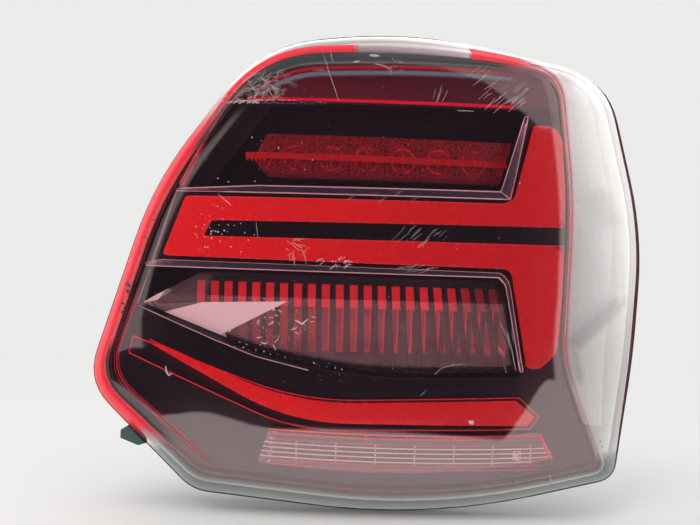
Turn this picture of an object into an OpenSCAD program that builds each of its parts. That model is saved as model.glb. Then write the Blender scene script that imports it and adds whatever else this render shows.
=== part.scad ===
// Right-hand LED tail light cluster of a hatchback, as it sits on the car.
// The light looks along -Y, +X points outboard and +Z up. The origin lies midway
// between the two fixing studs, in the plane where the housing meets the body.

/* [Lens] */
// Depth from the mounting plane to the crown of the lens
lamp_depth = 78; // [74:1:86]
// Radius of the lens face, seen from the side
face_radius = 520; // [480:10:640]
// How much flatter the face is across than up and down
face_flatter = 50; // [46:2:90]
// Distance of the face's crown from the centre plane, inboard
crown_offset = 10; // [0:1:20]
// Wall of the outer lens
lens_wall = 2.6; // [2.2:0.1:3]
// How far the side of the lens swells between crease and rim, per millimetre of length
skirt_swell = 0.03; // [0:0.005:0.05]

/* [Housing] */
// Wall of the housing
housing_wall = 2.5; // [2:0.1:3.2]
// Height of the stud bosses above the back wall
boss_height = 10; // [8:0.5:12]
// Depth of the flange behind the lens rim
flange_depth = 8; // [7:0.5:9]
// Lip of the flange outside the lens rim
flange_lip = 0.4; // [0.2:0.1:1]
// Gap left by the weld between lens and housing
weld_gap = 0.3; // [0.2:0.05:0.4]
// Radius of the corner round the flat back
back_corner = 4; // [3:0.5:6]

/* [Carrier and boards] */
// Height of the screw pillars inside the housing
pillar_height = 4.5; // [4:0.5:6]
// Radius of the screw pillars
pillar_radius = 5; // [4.4:0.2:6]
// Thickness of the carrier plate
carrier_thick = 3; // [2.4:0.2:3.6]
// Gap between carrier and housing wall
carrier_gap = 1.5; // [1:0.25:2.5]
// Thickness of the circuit boards
board_thick = 1.6; // [1.2:0.2:2]
// Height of an LED on its board
led_height = 1.4; // [1:0.2:2]
// Side of a square LED
led_side = 3.2; // [2.4:0.2:3.8]

/* [Bezel] */
// Depth of the bezel behind the outside of the lens
bezel_deep = 9; // [8.4:0.2:10]
// Wall of the bezel
bezel_wall = 2.4; // [2:0.1:2.6]
// Gap between the bezel's edge and the edge line of the lens
bezel_inset = 3; // [2.4:0.2:4]
// Radius of the bezel's posts
post_radius = 3.5; // [3:0.25:4]
// Clearance between pieces that rest on each other
seat = 0.2; // [0.1:0.05:0.3]

/* [Chambers] */
// Wall of the light chambers
chamber_wall = 2; // [1.6:0.2:2.4]
// Floor of the light chambers
chamber_floor = 2.5; // [2:0.25:3]

/* [Stop lamp] */
// Bowls in the stop reflector
bowl_count = 6; // [5:1:6]
// Distance between bowls
bowl_pitch = 19.2; // [18.6:0.2:20]
// Radius of a bowl's mouth
bowl_mouth = 8.6; // [7:0.2:9]
// Radius of the hole at a bowl's root
bowl_root = 2.8; // [2.6:0.1:3.2]
// Depth of the stop reflector
bowl_deep = 13; // [11:0.5:15]
// Wall of the stop lens
stop_wall = 2; // [1.6:0.1:2.2]
// Depth of the stop lens behind the outer lens
stop_deep = 25; // [24:0.5:27]
// Height of the light bar across the stop lens
bar_height = 3.2; // [2.6:0.2:4]
// Depth of the light bar, front to back
bar_thick = 4.2; // [3.4:0.2:5]
// Spacing of the teeth on the light bar
bar_tooth = 2.2; // [1.8:0.1:2.6]

/* [Tail guide] */
// Thickness of the red light guides
guide_thick = 3.3; // [2.6:0.1:3.6]
// Ledge under the edge of a light guide
guide_ledge = 3; // [2.4:0.2:3.4]
// LEDs in each row behind the tail guide
tail_led_count = 10; // [6:1:12]

/* [Turn lamp] */
// Fins in the turn lamp
fin_count = 22; // [17:1:22]
// Width of a fin
fin_width = 4.2; // [3.4:0.2:4.6]
// Distance between fins
fin_pitch = 7.4; // [7.2:0.05:7.5]
// Lean of the outermost fin in degrees
fin_lean = 13; // [9:1:14]
// Depth of the upper fins behind the outer lens
fin_deep = 20.5; // [20.5:0.5:24]
// Step back to the lower fins
fin_step = 7; // [5:0.5:9]
// Thickness of the fin plate
fin_plate = 2.4; // [2:0.2:3]
// Wall of the turn lens
turn_wall = 1.8; // [1.4:0.1:2]
// Depth of the turn lens at its fold
turn_deep = 12; // [11.8:0.2:12.6]
// Step back from the fold to the edges of the turn lens
turn_fall = 12.5; // [10:0.5:14]

/* [Reverse lamp] */
// Flutes along the reverse lens
flute_count = 6; // [4:1:6]
// Distance between flutes
flute_pitch = 2.5; // [2.2:0.1:2.6]
// Width of a flute
flute_width = 1.2; // [0.8:0.1:1.5]
// Height of a flute above the lens
flute_rise = 0.9; // [0.6:0.1:1.2]
// LEDs of the reverse lamp
reverse_led_count = 4; // [2:1:5]

/* [Fixings] */
// Distance between the fixing studs
stud_spacing = 104; // [96:2:112]
// Radius of a fixing stud
stud_radius = 3; // [2.5:0.5:4]
// Length of stud that stands out of the boss
stud_length = 22; // [16:1:28]
// Depth of the stud in its boss
stud_root = 8; // [6:0.5:8.5]
// How far the collar that holds a stud in its boss stands out round it
stud_collar = 1.2; // [0.8:0.2:2]
// Radius of a stud boss
boss_radius = 10; // [8:0.5:12]
// Radius of a locating pin
pin_radius = 4; // [3:0.5:5]
// Length of a locating pin outside its boss
pin_length = 12; // [9:1:16]
// Radius of the bosses that carry the locating pins
pin_boss = 8; // [7:0.5:9]
// Width of the foam strips
foam_width = 7; // [5:0.5:8]
// Distance of the foam strip from the edge of the back
foam_inset = 5; // [4:0.5:7]

/* [Connector] */
// Width of the connector socket
socket_width = 34; // [30:1:40]
// Height of the connector socket
socket_height = 18; // [16:1:22]
// Length of the connector socket behind the back wall
socket_length = 18; // [14:1:20]
// Wall of the connector socket
socket_wall = 2; // [1.6:0.1:2.4]
// Contact pins in the socket
contact_count = 6; // [4:1:8]
// Distance between contact pins
contact_pitch = 3.8; // [3.2:0.1:3.8]

/* [Hidden] */
$fn = 48;
corner_steps = 7;
side_steps = 2;
outline_steps = 4;
face_across = face_radius + face_flatter;
face_axis_y = face_across - lamp_depth;
back_y = -boss_height;
floor_y = back_y - housing_wall;
carrier_back = floor_y - pillar_height;
carrier_front = carrier_back - carrier_thick;
board_front = carrier_front - board_thick;
chamber_front = carrier_front - chamber_floor;
bezel_back = bezel_deep + bezel_wall;
guide_back = bezel_deep - seat;
guide_front = guide_back - guide_thick;
far = 200;

// Edge line of the lens: where the face turns into the side.
// Each corner is [x, size of the rounding between face and side, z, cut of the corner].
edge_corners = [
    [-132.5, 9, -65, 16], [-77.5, 10, -114, 8], [48, 11, -125, 60], [140, 7, -107, 7],
    [114.8, 4, -48, 14], [116.7, 4, 36, 22], [109.5, 6, 107, 18], [34, 10, 115, 45],
    [-51, 10, 110, 32], [-101.5, 9, 34, 30]];
// Rim where the lens is welded to the housing: [x, y, z, cut of the corner].
rim_corners = [
    [-141.5, -38, -69, 18], [-82, -38, -126.5, 9], [46, -38, -138.5, 62], [149.5, -28, -115, 9],
    [168, 14, -50, 22], [177, 37, 22, 34], [152, 29, 112, 24], [36, -12, 132.5, 48],
    [-52, -36, 117.5, 34], [-108, -38, 40, 32]];
// Edge of the flat back: [x, z, cut of the corner].
back_corners = [
    [-131, -65, 16], [-77, -116, 9], [44, -125, 50], [106, -102, 12],
    [108, -46, 16], [108, 26, 26], [101, 98, 20], [34, 118, 42],
    [-47, 106, 30], [-99, 37, 28]];

// Openings and pieces seen from the front: [x, z, cut of the corner].
upper_window = [[-64.5, 83, 1], [92.5, 83.5, 1], [79, 38, 1], [-89, 37, 1]];
upper_deep = [[-44, 83, 1], [92.5, 83.5, 1], [79, 38, 1], [-78, 37, 1]];
upper_shelf = 42;
lower_window = [
    [-104.5, -4, 1.5], [82, -4.5, 6], [93.5, -58, 4], [10, -61, 36],
    [-48, -50, 22], [-111.5, -25.5, 1]];
tail_outline = [
    [-87, 32.4, 2], [80, 33.4, 2], [85.2, 36, 2], [95.2, 75.8, 1.5],
    [106, 75.8, 3], [111, 70, 3], [112.8, 42, 4], [113, 21.8, 0.3],
    [-72.6, 19.8, 0.3], [-76.8, 11.6, 0.3], [113, 12.4, 0.3], [112.6, -18, 4],
    [111.2, -45, 5], [102, -53.4, 2], [95, -53.2, 2.5], [84.4, -1, 4.5], [-98.6, 0.8, 3]];
band_outline = [
    [-104, -43.6, 0.5], [-26, -74.4, 32], [90, -70.4, 0.6], [101, -79.2, 0.6],
    [97, -84, 0.6], [-29, -84.6, 30], [-104, -45.4, 0.5]];
band_carrier = [
    [-113.5, -41.5, 1.5], [-24, -72.5, 30], [92, -68.4, 1], [104, -78.8, 1],
    [99, -86.4, 1], [-26, -89.4, 24], [-116, -51.5, 1.5]];
reverse_outline = [
    [-40.5, -89.6, 2], [45, -93.2, 50], [104, -87.4, 2], [112.6, -101.8, 2],
    [42, -113.6, 55], [-45.5, -106.8, 2]];

stud_places = [[0, stud_spacing / 2], [0, -stud_spacing / 2]];
screw_places = [[-110, -60], [-66, -96], [40, -75], [92, -74], [60, 98], [-40, 93]];
post_places = [[-112, -42], [-20, -75], [70, -75], [10, 98], [82, 91], [-96, -72]];
// Locating pins: [x, z, outer end of the boss, inner end of the boss].
pin_places = [[140, 56, 24, 9], [136, -30, 16, -2]];
vent_places = [[52, 84], [-76, -72]];
socket_place = [-62, -16];
stop_centre = [17, 56];
bar_span = [-57.5, 83];
tail_board_box = [[-82, 3.6], [98, 30]];
tail_rows = [6.2, 27];
turn_board_box = [[-76, -32], [72, -14]];
reverse_board_box = [[-34, -105], [94, -96]];
fin_rows = [-12, -24.5, -50];
turn_fold = -19.5;
first_fin = -79;
upper_trim = [
    [-93, 34.4, 0.3], [83.6, 35.4, 1], [92.8, 81, 0.3], [90.6, 81, 0.3],
    [78, 40, 1], [-49, 39, 1], [-93, 36.2, 0.3]];
lower_trim = [
    [-108.5, -3, 0.3], [-99, -1.1, 1], [80, -2.7, 3], [84.6, -8, 2],
    [93.8, -55, 0.3], [92, -55.6, 0.3], [82.2, -9.6, 2], [78.5, -5.8, 2], [-107, -5.2, 0.3]];
turn_outline = [
    [-109.5, -24.6, 1.5], [-97, -17.4, 2], [-77, -6.8, 3], [80.4, -7, 3], [91.6, -56.2, 2],
    [12, -59, 36], [-46, -48.4, 22]];
stop_outline = [
    [-47, 68, 2], [86, 67.4, 2], [79.2, 44.2, 2], [-45, 44.4, 2], [-53.5, 53.5, 2]];

// Depth of the lens face below its crown, d millimetres under the outer surface.
function face_y(x, z, d = 0) =
    let (r = face_across - d - (face_radius - sqrt(face_radius * face_radius - z * z)))
    face_axis_y - sqrt(r * r - pow(x + crown_offset, 2));

function unit(v) = v / norm(v);
function mix(a, b, t) = a + (b - a) * t;
function bend(a, b, c, t) = mix(mix(a, b, t), mix(b, c, t), t);
function flat(rows) = [for (row = rows) each row];
function turn(i, n) = (i + n) % n;
function toward(a, b, cut) = a + (b - a) * cut / norm(b - a);

// Closed path through corners [..., cut], each corner a smooth curve.
function rounded(corners, curve_steps, straight_steps) =
    let (n = len(corners), w = len(corners[0]) - 1,
         p = [for (c = corners) [for (j = [0:w - 1]) c[j]]])
    [for (k = [0:n - 1])
        let (here = p[k], before = p[turn(k - 1, n)], after = p[turn(k + 1, n)],
             cut = corners[k][w], next_cut = corners[turn(k + 1, n)][w],
             start = toward(here, before, cut), end = toward(here, after, cut),
             next = toward(after, here, next_cut))
        each concat(
            [for (j = [0:curve_steps]) bend(start, here, end, j / curve_steps)],
            straight_steps < 2 ? [] : [for (j = [1:straight_steps - 1]) mix(end, next, j / straight_steps)])];

// Flat closed outline moved inwards by d (outwards where d is negative).
function inset(points, d) =
    let (n = len(points))
    [for (i = [0:n - 1])
        let (a = points[turn(i - 1, n)], b = points[turn(i + 1, n)], t = unit(b - a))
        points[i] + d * [-t[1], t[0]]];
function outline(corners) = rounded(corners, outline_steps, 1);

// Corners [x, z, cut] of an outline grown by d on all sides, the cuts kept in step.
function area(corners) = let (n = len(corners))
    sum([for (i = [0:n - 1]) let (a = corners[i], b = corners[turn(i + 1, n)]) a[0] * b[1] - b[0] * a[1]]);
function sum(v, i = 0) = i < len(v) ? v[i] + sum(v, i + 1) : 0;
function grow(corners, d) =
    let (n = len(corners), side = area(corners) > 0 ? 1 : -1)
    [for (i = [0:n - 1])
        let (p = [corners[i][0], corners[i][1]],
             a = corners[turn(i - 1, n)], b = corners[turn(i + 1, n)],
             e = unit(p - [a[0], a[1]]), f = unit([b[0], b[1]] - p),
             m = side * [e[1], -e[0]], k = side * [f[1], -f[0]],
             bulge = side * (e[0] * f[1] - e[1] * f[0]) / (1 + e * f),
             q = p + d * (m + k) / (1 + m * k))
        [q[0], q[1], max(0.3, corners[i][2] + d * bulge)]];

edge_line = rounded(edge_corners, corner_steps, side_steps);
rim_line = rounded(rim_corners, corner_steps, side_steps);
edge_flat = [for (p = edge_line) [p[0], p[2]]];
middle = [4, -4];
around = len(edge_line);

// Outer surface of the lens as rings from the middle of the face out to the rim.
face_shares = [0.3, 0.6, 0.84];
side_shares = [0.25, 0.5, 0.75, 1];
turn_rings = 5;
function on_face(x, z) = [x, face_y(x, z), z];
function lens_point(i, ring) =
    let (e = edge_line[i], faces = len(face_shares), soft = e[1], edge = on_face(e[0], e[2]),
         near = [e[0], e[2]] + soft * unit(middle - [e[0], e[2]]),
         start = on_face(near[0], near[1]), end = side_point(i, 0))
    ring < faces
        ? let (q = mix(middle, near, face_shares[ring])) on_face(q[0], q[1])
        : ring < faces + turn_rings ? bend(start, edge, end, (ring - faces) / (turn_rings - 1))
        : side_point(i, side_shares[ring - faces - turn_rings]);

// Point on the side of the lens, t from 0 at the crease to 1 at the rim.
function side_point(i, t) =
    let (e = edge_line[i], edge = on_face(e[0], e[2]), rim = rim_line[i],
         along = unit(rim - edge), end = edge + e[1] * along,
         outward = unit([e[0] - middle[0], 0, e[2] - middle[1]]),
         swell_way = unit(outward - (outward * along) * along))
    mix(end, rim, t) + swell_way * skirt_swell * norm(rim - end) * 4 * t * (1 - t);
lens_ring_count = len(face_shares) + turn_rings + len(side_shares);
lens_rings = [for (ring = [0:lens_ring_count - 1]) [for (i = [0:around - 1]) lens_point(i, ring)]];

function ring_normal(rings, k, i) =
    let (n = len(rings[0]), up = min(k + 1, len(rings) - 1), down = max(k - 1, 0))
    unit(cross(rings[up][i] - rings[down][i], rings[k][turn(i + 1, n)] - rings[k][turn(i - 1, n)]));
function under(rings, d) = [for (k = [0:len(rings) - 1])
    [for (i = [0:len(rings[k]) - 1]) rings[k][i] - d * ring_normal(rings, k, i)]];
function backwards(rings) = [for (k = [len(rings) - 1:-1:0]) rings[k]];
function moved(ring, d) = [for (p = ring) p + d];

// Closed skin through rings, shut at both ends by fans to a first and a last point.
module ring_skin(rings, first, last) {
    n = len(rings[0]);
    count = len(rings);
    points = concat(flat(rings), [first, last]);
    faces = concat(
        [for (k = [0:count - 2]) for (i = [0:n - 1])
            let (a = k * n + i, b = k * n + turn(i + 1, n)) each [[a, b, b + n], [a, b + n, a + n]]],
        [for (i = [0:n - 1]) [count * n, turn(i + 1, n), i]],
        [for (i = [0:n - 1]) [(count - 1) * n + i, (count - 1) * n + turn(i + 1, n), count * n + 1]]);
    polyhedron(points, faces, convexity = 6);
}

// Open patch of points with a second patch behind it, closed round its border.
module thick_patch(front, back) {
    rows = len(front);
    cols = len(front[0]);
    under_it = rows * cols;
    faces = concat(
        [for (k = [0:rows - 2]) for (i = [0:cols - 2])
            let (a = k * cols + i, b = a + 1, c = b + cols, d = a + cols)
            each [[a, b, c], [a, c, d],
                  [a + under_it, c + under_it, b + under_it], [a + under_it, d + under_it, c + under_it]]],
        [for (i = [0:cols - 2])
            let (a = i, b = i + 1, d = (rows - 1) * cols + i, c = d + 1)
            each [[b, a, a + under_it], [b, a + under_it, b + under_it],
                  [d, c, c + under_it], [d, c + under_it, d + under_it]]],
        [for (k = [0:rows - 2])
            let (a = k * cols, d = a + cols, b = a + cols - 1, c = b + cols)
            each [[a, d, d + under_it], [a, d + under_it, a + under_it],
                  [c, b, b + under_it], [c, b + under_it, c + under_it]]]);
    polyhedron(concat(flat(front), flat(back)), faces, convexity = 6);
}

// A profile of radius and height swept round the upright axis on which the face is struck.
module struck() {
    translate([-crown_offset, face_axis_y, 0])
        rotate([0, 0, -112])
            rotate_extrude(angle = 44, $fn = 128)
                children();
}

// Everything behind the surface that lies d under the outside of the lens.
module behind_face(d) {
    struck()
        intersection() {
            translate([face_across - d - face_radius, 0]) circle(face_radius, $fn = 200);
            translate([face_across - 160, -150]) square([200, 300]);
        }
}

// Layer between two depths under the outside of the lens.
module face_layer(front, back) {
    difference() {
        behind_face(front);
        behind_face(back);
    }
}

// Flat shape in X and Z carried along Y from one depth to the other.
module prism(points, front, back) {
    translate([0, back, 0]) rotate([90, 0, 0]) linear_extrude(back - front) polygon(points);
}

// Layer of a given outline.
module layer_piece(points, front, back) {
    intersection() {
        face_layer(front, back);
        prism(points, -far, -5);
    }
}

// Cylinder along Y from one depth to the other, at [x, z].
module rod(place, radius, front, back) {
    translate([place[0], back, place[1]]) rotate([90, 0, 0]) cylinder(back - front, radius, radius);
}

// Block between two corners [x, z] and two depths.
module block(low, high, front, back) {
    translate([low[0], front, low[1]]) cube([high[0] - low[0], back - front, high[1] - low[1]]);
}

module outer_lens() {
    inner = under(lens_rings, lens_wall);
    color([0.45, 0.05, 0.08, 0.5])
        ring_skin(concat(lens_rings, backwards(inner)),
            on_face(middle[0], middle[1]), on_face(middle[0], middle[1]) + [0, lens_wall, 0]);
}

// Housing: a tray whose flange takes the rim of the lens, with the flat back inside it.
rim_normals = [for (i = [0:around - 1]) ring_normal(lens_rings, lens_ring_count - 1, i)];
rim_seat = moved(lens_rings[lens_ring_count - 1], [0, weld_gap, 0]);
back_line = rounded(back_corners, corner_steps, side_steps);
function at_depth(points, y) = [for (p = points) [p[0], y, p[1]]];
function off_rim(d, back) = [for (i = [0:around - 1]) rim_seat[i] + d * rim_normals[i] + [0, back, 0]];
housing_rings = [
    at_depth([for (p = back_line) mix(middle, p, 0.5)], back_y),
    at_depth(inset(back_line, back_corner), back_y),
    at_depth(inset(back_line, back_corner * 0.3), back_y - back_corner * 0.3),
    at_depth(back_line, back_y - back_corner),
    off_rim(flange_lip, flange_depth),
    off_rim(flange_lip, 0)];

module housing_shell() {
    count = len(housing_rings);
    inside = under(housing_rings, -housing_wall);
    rings = concat(
        housing_rings,
        [rim_seat, off_rim(-lens_wall, 0), off_rim(-lens_wall - flange_lip, 0)],
        [for (k = [count - 3:-1:0]) inside[k]]);
    turned = [for (ring = rings) [for (i = [around - 1:-1:0]) ring[i]]];
    ring_skin(turned, [middle[0], back_y, middle[1]], [middle[0], floor_y, middle[1]]);
}

screw_core = 1.5;
dowel = 1.6;
hole_play = 0.2;

module housing() {
    color([0.09, 0.09, 0.1])
        difference() {
            union() {
                housing_shell();
                for (p = stud_places) rod(p, boss_radius, floor_y + 1, 0);
                for (p = screw_places) rod(p, pillar_radius, carrier_back, back_y - 1);
                for (p = pin_places) rod(p, pin_boss, p[3], p[2]);
                locating_tab();
            }
            for (p = stud_places) rod(p, stud_radius + stud_collar + seat / 2, -stud_root - seat, 1);
            for (p = screw_places) rod(p, screw_core + seat / 2, carrier_back - 1, back_y - 2);
            for (p = pin_places) rod(p, pin_radius - 0.6 + seat / 2, p[2] - pin_root, p[2] + 1);
            for (p = vent_places) rod(p, vent_stem + seat, floor_y - 1, back_y + 1);
            block(socket_place - nose / 2 - [seat, seat], socket_place + nose / 2 + [seat, seat],
                floor_y - 1, back_y + 1);
        }
}

// Small ear at the lower left, set into the flange.
module locating_tab() {
    prism([[-122.6, -95.4], [-118.5, -92.8], [-106.8, -101.6], [-112.8, -103.6], [-122.6, -99.8]], -36.5, -32);
}

pin_root = 8;
vent_stem = 3;
nose = [28, 12];

// Bezel: the black plate behind the face, cut for the windows and the light guides.
bezel_line = inset(edge_flat, bezel_inset);
module bezel() {
    color([0.02, 0.02, 0.022])
        difference() {
            union() {
                layer_piece(bezel_line, bezel_deep, bezel_back);
                for (p = post_places) intersection() {
                    behind_face(bezel_deep + 1);
                    rod(p, post_radius, -far, carrier_front);
                }
                for (p = post_places) rod(p, dowel, carrier_front - 1, carrier_back + 0.5);
            }
            prism(outline(upper_window), -far, carrier_front - 20);
            prism(outline(lower_window), -far, carrier_front - 20);
            prism(outline(grow(tail_outline, -guide_ledge)), -far, carrier_front - 16);
            prism(outline(grow(reverse_outline, -guide_ledge)), -far, carrier_front - 14);
            for (p = peg_places) rod(p, dowel + hole_play, -far, carrier_front - 12);
        }
}
peg_places = [[-40, -76], [84, -76.5]];

// Side bezel: the dark skin behind the side of the lens, carried by the bosses of the pins.
per_corner = corner_steps + side_steps;
side_first = 4 * per_corner - 1;
side_last = 6 * per_corner + 5;
side_under = 6.5;
side_wall = 2;
side_steps_t = [0.055, 0.2, 0.35, 0.5, 0.64];
function side_normal(i, t) = unit(cross(side_point(i, t + 0.03) - side_point(i, t - 0.03),
    side_point(turn(i + 1, around), t) - side_point(turn(i - 1, around), t)));
function side_patch(d) = [for (t = side_steps_t)
    [for (i = [side_first:side_last]) side_point(i, t) - d * side_normal(i, t)]];
module side_bezel() {
    color([0.02, 0.02, 0.022])
        union() {
            thick_patch(side_patch(side_under), side_patch(side_under + side_wall));
            intersection() {
                thick_patch(side_patch(side_under + 0.6), side_patch(side_under + 34));
                for (p = pin_places) rod(p, post_radius, -60, p[3] - seat);
            }
        }
}

// Tray that stands on the carrier and reaches up to the bezel, with a hole for a board.
// Where a shelf is named, only the deep outline goes down past it.
module tray(corners, board_box, deep = [], shelf = 0) {
    low = len(deep) > 0 ? deep : corners;
    intersection() {
        behind_face(bezel_back + seat);
        difference() {
            union() {
                prism(outline(grow(low, chamber_wall)), -far, carrier_front);
                if (len(deep) > 0) prism(outline(grow(corners, chamber_wall)), -far, shelf);
            }
            prism(outline(low), -far - 1, chamber_front);
            if (len(deep) > 0) prism(outline(corners), -far - 1, shelf - chamber_floor);
            block(board_box[0] - [0.3, 0.3], board_box[1] + [0.3, 0.3], chamber_front - 0.01, carrier_front + 1);
        }
    }
}
screw_head = 3;

// Insides of the chambers at the bezel. The tail lamp's keeps clear of the bezel's turned
// edge on the outboard side.
box_corners = [for (c = tail_outline) c[0] > 100 ? [c[0] - 1.6, c[1], c[2]] : c];
chamber_corners = [
    grow(upper_window, 0.5), grow(lower_window, 0.5), grow(box_corners, -guide_ledge),
    grow(reverse_outline, -guide_ledge)];

module upper_chamber() {
    color([0.05, 0.04, 0.045])
        tray(chamber_corners[0], stop_board_box, grow(upper_deep, 0.5), -upper_shelf);
}
stop_board_box = [[-42, 46], [76, 66]];

module lower_chamber() {
    color([0.05, 0.04, 0.045]) tray(chamber_corners[1], turn_board_box);
}

module tail_light_box() {
    color([0.85, 0.85, 0.85]) tray(chamber_corners[2], tail_board_box);
}

module reverse_tray() {
    color([0.8, 0.8, 0.8]) tray(chamber_corners[3], reverse_board_box);
}

module trim_strip(corners) {
    color([0.5, 0.5, 0.52]) layer_piece(outline(corners), bezel_deep - seat - 1.6, bezel_deep - seat);
}

// Stop lamp: board, LEDs, bowls, the cup-shaped red lens and the bar across it.
function led_row(count, pitch, centre) = [for (i = [0:count - 1]) centre + [(i - (count - 1) / 2) * pitch, 0]];
bowl_places = led_row(bowl_count, bowl_pitch, stop_centre);
reflector_back = chamber_front - seat;
reflector_front = reflector_back - bowl_deep;

module board(box) {
    color([0.04, 0.2, 0.1]) block(box[0], box[1], board_front, carrier_front);
}

module led_set(places) {
    half = [led_side, led_side] / 2;
    color([0.9, 0.85, 0.6]) for (p = places) block(p - half, p + half, board_front - led_height, board_front);
}

module stop_reflector() {
    color([0.75, 0.75, 0.78])
        difference() {
            prism(outline(stop_outline), reflector_front, reflector_back);
            for (p = bowl_places)
                translate([p[0], reflector_back + 0.01, p[1]]) rotate([90, 0, 0])
                    rotate_extrude()
                        polygon(concat([[0, -1], [bowl_root, -1]],
                            [for (j = [0:5]) let (t = j / 5) [mix(bowl_root, bowl_mouth, sqrt(t)), bowl_deep * t]],
                            [[bowl_mouth, bowl_deep + 1], [0, bowl_deep + 1]]));
        }
}

module stop_lens() {
    color([0.6, 0.02, 0.03, 0.8])
        difference() {
            intersection() {
                behind_face(stop_deep);
                prism(outline(stop_outline), -far, reflector_front - seat);
            }
            intersection() {
                behind_face(stop_deep + stop_wall);
                prism(outline(grow(stop_outline, -stop_wall)), -far, 0);
            }
        }
}

module stop_light_bar() {
    left = bar_span[0];
    right = bar_span[1];
    top = stop_centre[1] + 1.4;
    low = top - bar_height;
    teeth = [for (j = [0:4]) each [[left + j * bar_tooth, low], [left + (j + 0.5) * bar_tooth, low - 1.6]]];
    color([0.9, 0.1, 0.1])
        layer_piece(concat([[left, top]], teeth,
            [[left + 5 * bar_tooth, low], [right, low - 1], [right, low + 2.2], [left + 50, top]]),
            stop_deep - seat - bar_thick, stop_deep - seat);
}

// Tail lamp.
tail_led_places = [for (z = tail_rows) each led_row(tail_led_count, 164 / tail_led_count, [10, z])];
module tail_light_guide() {
    color([0.85, 0.02, 0.03]) layer_piece(outline(tail_outline), guide_front, guide_back);
}

// Turn lamp: fins on a plate behind a folded clear lens.
plate_front = carrier_front - 14;
leg_places = [[-84, -22], [77, -20], [-36, -42], [60, -46]];
module fin_shape(i) {
    x = first_fin + i * fin_pitch;
    lean = fin_lean * pow(i / (fin_count - 1), 3);
    translate([x, 0, fin_rows[0]]) rotate([0, -lean, 0])
        translate([-fin_width / 2, -far, -60]) cube([fin_width, far + plate_front + 1, 60]);
}

module turn_fins() {
    color([0.8, 0.05, 0.06])
        union() {
            prism(outline(turn_outline), plate_front, plate_front + fin_plate);
            intersection() {
                prism(outline(grow(turn_outline, -2.5)), -far, 0);
                union() {
                    intersection() {
                        behind_face(fin_deep);
                        block([-130, fin_rows[1]], [110, fin_rows[0]], -far, plate_front + 1);
                        for_fins();
                    }
                    intersection() {
                        behind_face(fin_deep + fin_step);
                        block([-130, fin_rows[2] - 12], [110, fin_rows[1] + 0.01], -far, plate_front + 1);
                        for_fins();
                    }
                }
            }
            for (p = leg_places) rod(p, 2.5, plate_front + 1, chamber_front - seat);
        }
}

module for_fins() {
    for (i = [0:fin_count - 1]) fin_shape(i);
}

// Solid behind the folded face of the turn lens.
module behind_fold(d) {
    r = face_across - d;
    struck()
        polygon([[r - 60, -70], [r - turn_fall, -70], [r, turn_fold], [r - turn_fall * 0.4, 6], [r - 60, 6]]);
}

module turn_lens() {
    color([0.75, 0.7, 0.7, 0.4])
        difference() {
            intersection() {
                behind_fold(turn_deep);
                prism(outline(turn_outline), -far, plate_front - seat);
            }
            intersection() {
                behind_fold(turn_deep + turn_wall);
                prism(outline(grow(turn_outline, -turn_wall)), -far, 0);
            }
        }
}

// Lower light guide and the clear prism round it.
module lower_light_guide() {
    color([0.85, 0.02, 0.03])
        union() {
            layer_piece(outline(band_outline), guide_front, guide_back);
            for (p = peg_places) intersection() {
                face_layer(guide_back - 1, bezel_back + 2);
                rod(p, dowel, -far, 0);
            }
        }
}

module lower_guide_carrier() {
    color([0.2, 0.05, 0.06])
        difference() {
            layer_piece(outline(band_carrier), guide_back - 2, guide_back);
            prism(outline(grow(band_outline, 0.3)), -far, 0);
        }
}

flutes_low = -106.5;
function flute_line(x, i) = flutes_low + (i + 0.5) * flute_pitch + pow((x - 40) / 62, 2);
module reverse_lens() {
    color([0.8, 0.7, 0.7, 0.5])
        union() {
            layer_piece(outline(reverse_outline), guide_front, guide_back);
            intersection() {
                face_layer(guide_front - flute_rise, guide_front + 0.5);
                prism(outline(grow(reverse_outline, -2)), -far, -5);
                for (i = [0:flute_count - 1]) prism(concat(
                    [for (x = [-50:18:112]) [x, flute_line(x, i)]],
                    [for (x = [112:-18:-50]) [x, flute_line(x, i) + flute_width]]), -far, -5);
            }
        }
}

// Carrier plate on the pillars of the housing.
carrier_corners = grow(back_corners, -back_corner - housing_wall - carrier_gap);
module lamp_carrier() {
    color([0.2, 0.2, 0.21])
        difference() {
            prism(outline(carrier_corners), carrier_front, carrier_back);
            for (p = screw_places) rod(p, screw_core + hole_play + 0.1, carrier_front - 1, carrier_back + 1);
            for (p = post_places) rod(p, dowel + hole_play, carrier_front - 1, carrier_back + 1);
            for (p = cable_ends) block(p - [5, 1], p + [5, 1], carrier_front - 1, carrier_back + 1);
        }
}

module carrier_screws() {
    color([0.6, 0.6, 0.62])
        for (p = screw_places) {
            rod(p, screw_head, carrier_front - 2, carrier_front);
            rod(p, screw_core, carrier_front - 1, carrier_back + 5);
        }
}

// Flat cable behind the carrier, one end up through the carrier at each board.
cable_ends = [[-30, 50], [-53, 12], [-53, -26], [-29, -100]];
cable_thick = 0.6;
module inner_wires() {
    back = carrier_back + 0.2;
    color([0.55, 0.35, 0.15])
        union() {
            prism([[-58, -104], [-25, -104], [-25, -96], [-48, -96], [-48, 46], [-25, 46], [-25, 54],
                [-58, 54], [-58, -12], [-74, -12], [-74, -20], [-58, -20]], back, back + cable_thick);
            for (p = cable_ends) block(p - [4, 0.3], p + [4, 0.3], carrier_front + seat, back + 0.3);
        }
}

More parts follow.
